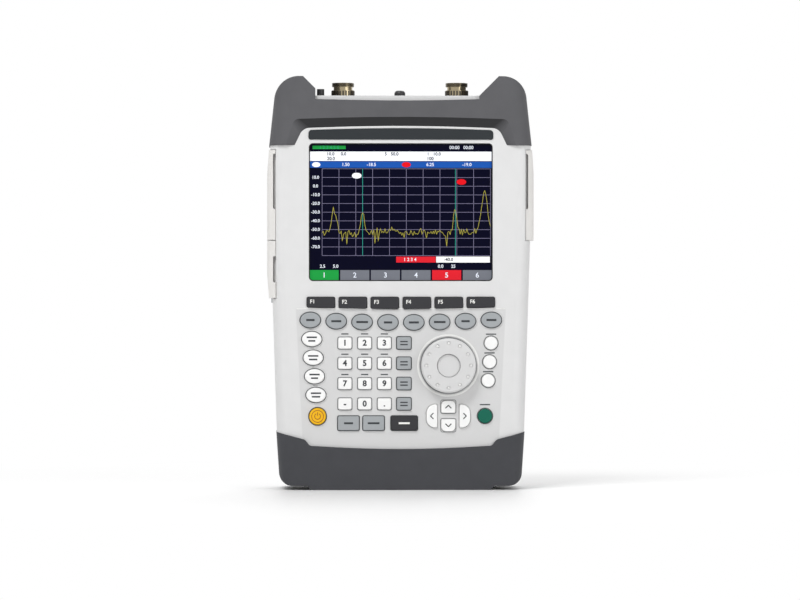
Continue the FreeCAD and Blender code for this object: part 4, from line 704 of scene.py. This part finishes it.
# screen-printed orange ink: flat, darker than the key below it
orange_ink = moulded("orange_ink", "#a85a10", roughness=0.5, grain_mm=0.5, bump=0.02, mottle=0.05)
x, z, width, height, face = key_face("power_key")
power_print = (orange_ink, "power_key", "yellow_key_silicone")
arc_band("power_ring", x, z, 4.3 * MM, 0.5 * MM, face, *power_print)
arc_band("power_arc", x, z, 2.1 * MM, 0.55 * MM, face, *power_print, start=120, end=420)
bars("power_stroke", [(x, z + 1.7 * MM, 0.6 * MM, 2.4 * MM)], face, *power_print)
arc_band("power_key_rim", x, z, 6.6 * MM, 0.55 * MM, PANEL, print_and_gap_shade, "case", "case_abs", 0.12 * MM)
x, z, width, height, face = key_face("preset_key")
arc_band("preset_key_rim", x, z, 5.75 * MM, 0.45 * MM, PANEL, print_and_gap_shade, "case", "case_abs", 0.08 * MM)
bars("preset_note", [(x, z + 8.2 * MM, ROUND_NOTE_WIDE, NOTE_TALL)], PANEL, print_and_gap_shade, "case", "case_abs")
for index in range(3):
    x, z, width, height, face = key_face(f"side_key_{index + 1}")
    arc_band(f"side_key_rim_{index}", x, z, 5.3 * MM, 0.35 * MM, PANEL, print_and_gap_shade, "case", "case_abs", 0.08 * MM)
    bars(f"side_note_{index}", [(x, z + 6.4 * MM, ROUND_NOTE_WIDE, NOTE_TALL)], PANEL, print_and_gap_shade, "case",
         "case_abs")

# The tuning knob: moulded ABS on the encoder's shaft, in a raised collar on the panel.
# Twelve small finger bumps stand round its face, and a faint line rims its dish.
BUMPS, BUMP_CIRCLE, BUMP_RADIUS = 12, 16.1 * MM, 0.95 * MM
knob_low, knob_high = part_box("tuning_knob")
knob_x = (knob_low[0] + knob_high[0]) / 2
knob_z = (knob_low[2] + knob_high[2]) / 2
knob_radius = (knob_high[0] - knob_low[0]) / 2
# smooth ABS: a little glossier than the grained case
dress("knob_abs", moulded("smooth_abs", "#d6d6d6", roughness=0.38, grain_mm=0.5, bump=0.06, mottle=0.03,
                          edge_mm=0.5))
# a pale paint for the knob's collar, its bumps and the keypad's ledge: a painted highlight where these catch
# the light
collar = moulded("pale_painted_highlight", "#eeeeec", roughness=0.4, grain_mm=0.5, bump=0.05, mottle=0.02)
# a moulded groove: a thin line of soft shade
faint_line = moulded("faint_line", "#b4b6b8", roughness=0.5, grain_mm=0.5, bump=0.05, mottle=0.05)
# the collar's pale ring is a painted highlight on the raised collar
arc_band("knob_collar", knob_x, knob_z, knob_radius + 2.1 * MM, 1.5 * MM, PANEL, collar, "case", "case_abs",
         0.5 * MM)
# the grey ring round the knob: painted shadow of the gap between the knob and its collar
arc_band("knob_line", knob_x, knob_z, knob_radius + 0.4 * MM, 0.6 * MM, PANEL, shadow_ink, "case", "case_abs",
         0.1 * MM)
arc_band("knob_dish_line", knob_x, knob_z, 8.35 * MM, 0.3 * MM, knob_low[1] + 0.04 * MM, faint_line,
         "tuning_knob", "knob_abs", 0.04 * MM)
# the bumps take the same pale paint: a painted highlight on each
bm = bmesh.new()
for index in range(BUMPS):
    angle = math.tau * index / BUMPS
    place = (knob_x + BUMP_CIRCLE * math.cos(angle), knob_low[1] + BUMP_RADIUS,
             knob_z + BUMP_CIRCLE * math.sin(angle))
    bmesh.ops.create_uvsphere(bm, u_segments=16, v_segments=10, radius=BUMP_RADIUS,
                              matrix=Matrix.Translation(place))
finished("knob_bumps", bm, collar, "tuning_knob", True)

# The keypad's upper ledge: a thin pale bar on the panel between the dark keys and the ovals.
# It is a painted highlight, for the light that the lip of the front moulding catches.
LEDGE_LEVEL, LEDGE_WIDE, LEDGE_TALL = 131.4 * MM, 151.0 * MM, 0.7 * MM
bars("keypad_ledge_highlight", [(0.0, LEDGE_LEVEL, LEDGE_WIDE, LEDGE_TALL)], PANEL, collar, "case", "case_abs")

# The radio ports: turned brass plated with nickel, which stand on the case's top.
# The head has thread turns for a cable's nut, and below it is a knurled ring.
THREAD_TURNS, THREAD_PITCH, THREAD_FIRST = 5, 0.55 * MM, 0.35 * MM
THREAD_ROOT, THREAD_CREST, THREAD_HALF = 7.9 * MM, 8.2 * MM, 0.27 * MM
TEETH, TEETH_CIRCLE, TEETH_LEVEL = 24, 8.3 * MM, 9.0 * MM
TOOTH_DEEP, TOOTH_WIDE, TOOTH_TALL = 0.5 * MM, 1.1 * MM, 4.2 * MM
# turned nickel plate: a warm metal with a sharp shine
dress("nickel_plate", moulded("turned_nickel", "#a3977c", roughness=0.16, grain_mm=0.25, bump=0.1,
                              mottle=0.12, edge_mm=0.15, metallic=1.0))
# the same metal painted dark and dull on the thread and the knurl's teeth: painted shade and dark reflection
# between the bright streaks
nickel_painted_dark = moulded("nickel_painted_dark", "#4a4640", roughness=0.3, grain_mm=0.25, bump=0.1, mottle=0.12,
                      edge_mm=0.15, metallic=1.0)
for name in ("port_1_connector", "port_2_connector"):
    low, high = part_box(name)
    x, y = (low[0] + high[0]) / 2, (low[1] + high[1]) / 2
    bm = bmesh.new()
    for turn in range(THREAD_TURNS):
        level = high[2] - THREAD_FIRST - THREAD_PITCH * turn
        ridge = [bm.verts.new((x + out, y, level + up)) for out, up in (
            (THREAD_ROOT, -THREAD_HALF), (THREAD_CREST, 0.0), (THREAD_ROOT, THREAD_HALF))]
        lines = [bm.edges.new((ridge[i], ridge[(i + 1) % 3])) for i in range(3)]
        bmesh.ops.spin(bm, geom=ridge + lines, cent=(x, y, 0), axis=(0, 0, 1), angle=math.tau, steps=48,
                       use_merge=True)
    bmesh.ops.remove_doubles(bm, verts=bm.verts, dist=1e-7)
    finished(name + "_thread", bm, nickel_painted_dark, "case")
    bm = bmesh.new()
    for index in range(TEETH):
        shape = (Matrix.Translation((x, y, low[2] + TEETH_LEVEL))
                 @ Matrix.Rotation(math.tau * index / TEETH, 4, "Z")
                 @ Matrix.Translation((TEETH_CIRCLE, 0, 0))
                 @ Matrix.Diagonal((TOOTH_DEEP, TOOTH_WIDE, TOOTH_TALL, 1.0)))
        bmesh.ops.create_cube(bm, size=1.0, matrix=shape)
    finished(name + "_knurl", bm, nickel_painted_dark, "case")

# The studio: an even pale surround, with a broad lamp on each side in front and one behind.
# The level is set so that a colour renders about as it is written.
MIDDLE = (0.0, 0.0, 0.15)
SURROUND_LEVEL = 0.45


def lamp(name, place, width, power):
    """A broad square lamp that faces the middle of the instrument."""
    light = bpy.data.lights.new(name, "AREA")
    light.size = width
    light.energy = power
    holder = bpy.data.objects.new(name, light)
    holder.location = place
    holder.rotation_euler = (Vector(MIDDLE) - Vector(place)).to_track_quat("-Z", "Y").to_euler()
    bpy.context.scene.collection.objects.link(holder)


world = bpy.data.worlds.new("studio")
bpy.context.scene.world = world
world.use_nodes = True
world_tree = world.node_tree
surround = world_tree.nodes["Background"]
surround.inputs["Color"].default_value = (1, 1, 1, 1)
surround.inputs["Strength"].default_value = SURROUND_LEVEL
white = add_node(world_tree, "ShaderNodeBackground", {"Color": (1, 1, 1, 1), "Strength": 1.0})
backdrop = add_node(world_tree, "ShaderNodeMixShader", {},
                    {"Fac": seen_rays(world_tree), 1: surround.outputs["Background"],
                     2: white.outputs["Background"]})
world_tree.links.new(backdrop.outputs["Shader"], world_tree.nodes["World Output"].inputs["Surface"])
lamp("key_lamp", (-0.7, -1.3, 1.9), width=0.8, power=27.0)
lamp("fill_lamp", (1.5, -1.6, 0.7), width=1.2, power=9.0)
lamp("back_lamp", (0.3, 1.4, 1.5), width=1.2, power=12.0)

# The camera: far off and almost level, a little to the left, as in the photograph.
# Its lens follows from the width of the view at the instrument's front.
VIEW_WIDTH = 579.7 * MM
SENSOR_WIDTH = 36.0
DISTANCE = 3.0
AIM = Vector((-0.7 * MM, -0.031, 137.7 * MM))
SIDE_ANGLE = math.radians(1.5)
camera_data = bpy.data.cameras.new("camera")
camera_data.sensor_width = SENSOR_WIDTH
camera_data.lens = SENSOR_WIDTH * DISTANCE / VIEW_WIDTH
camera = bpy.data.objects.new("camera", camera_data)
camera.location = AIM + Vector((-math.sin(SIDE_ANGLE), -math.cos(SIDE_ANGLE), 0)) * DISTANCE
camera.rotation_euler = (AIM - camera.location).to_track_quat("-Z", "Y").to_euler()
bpy.context.scene.collection.objects.link(camera)
bpy.context.scene.camera = camera
bpy.context.scene.view_settings.view_transform = "Standard"
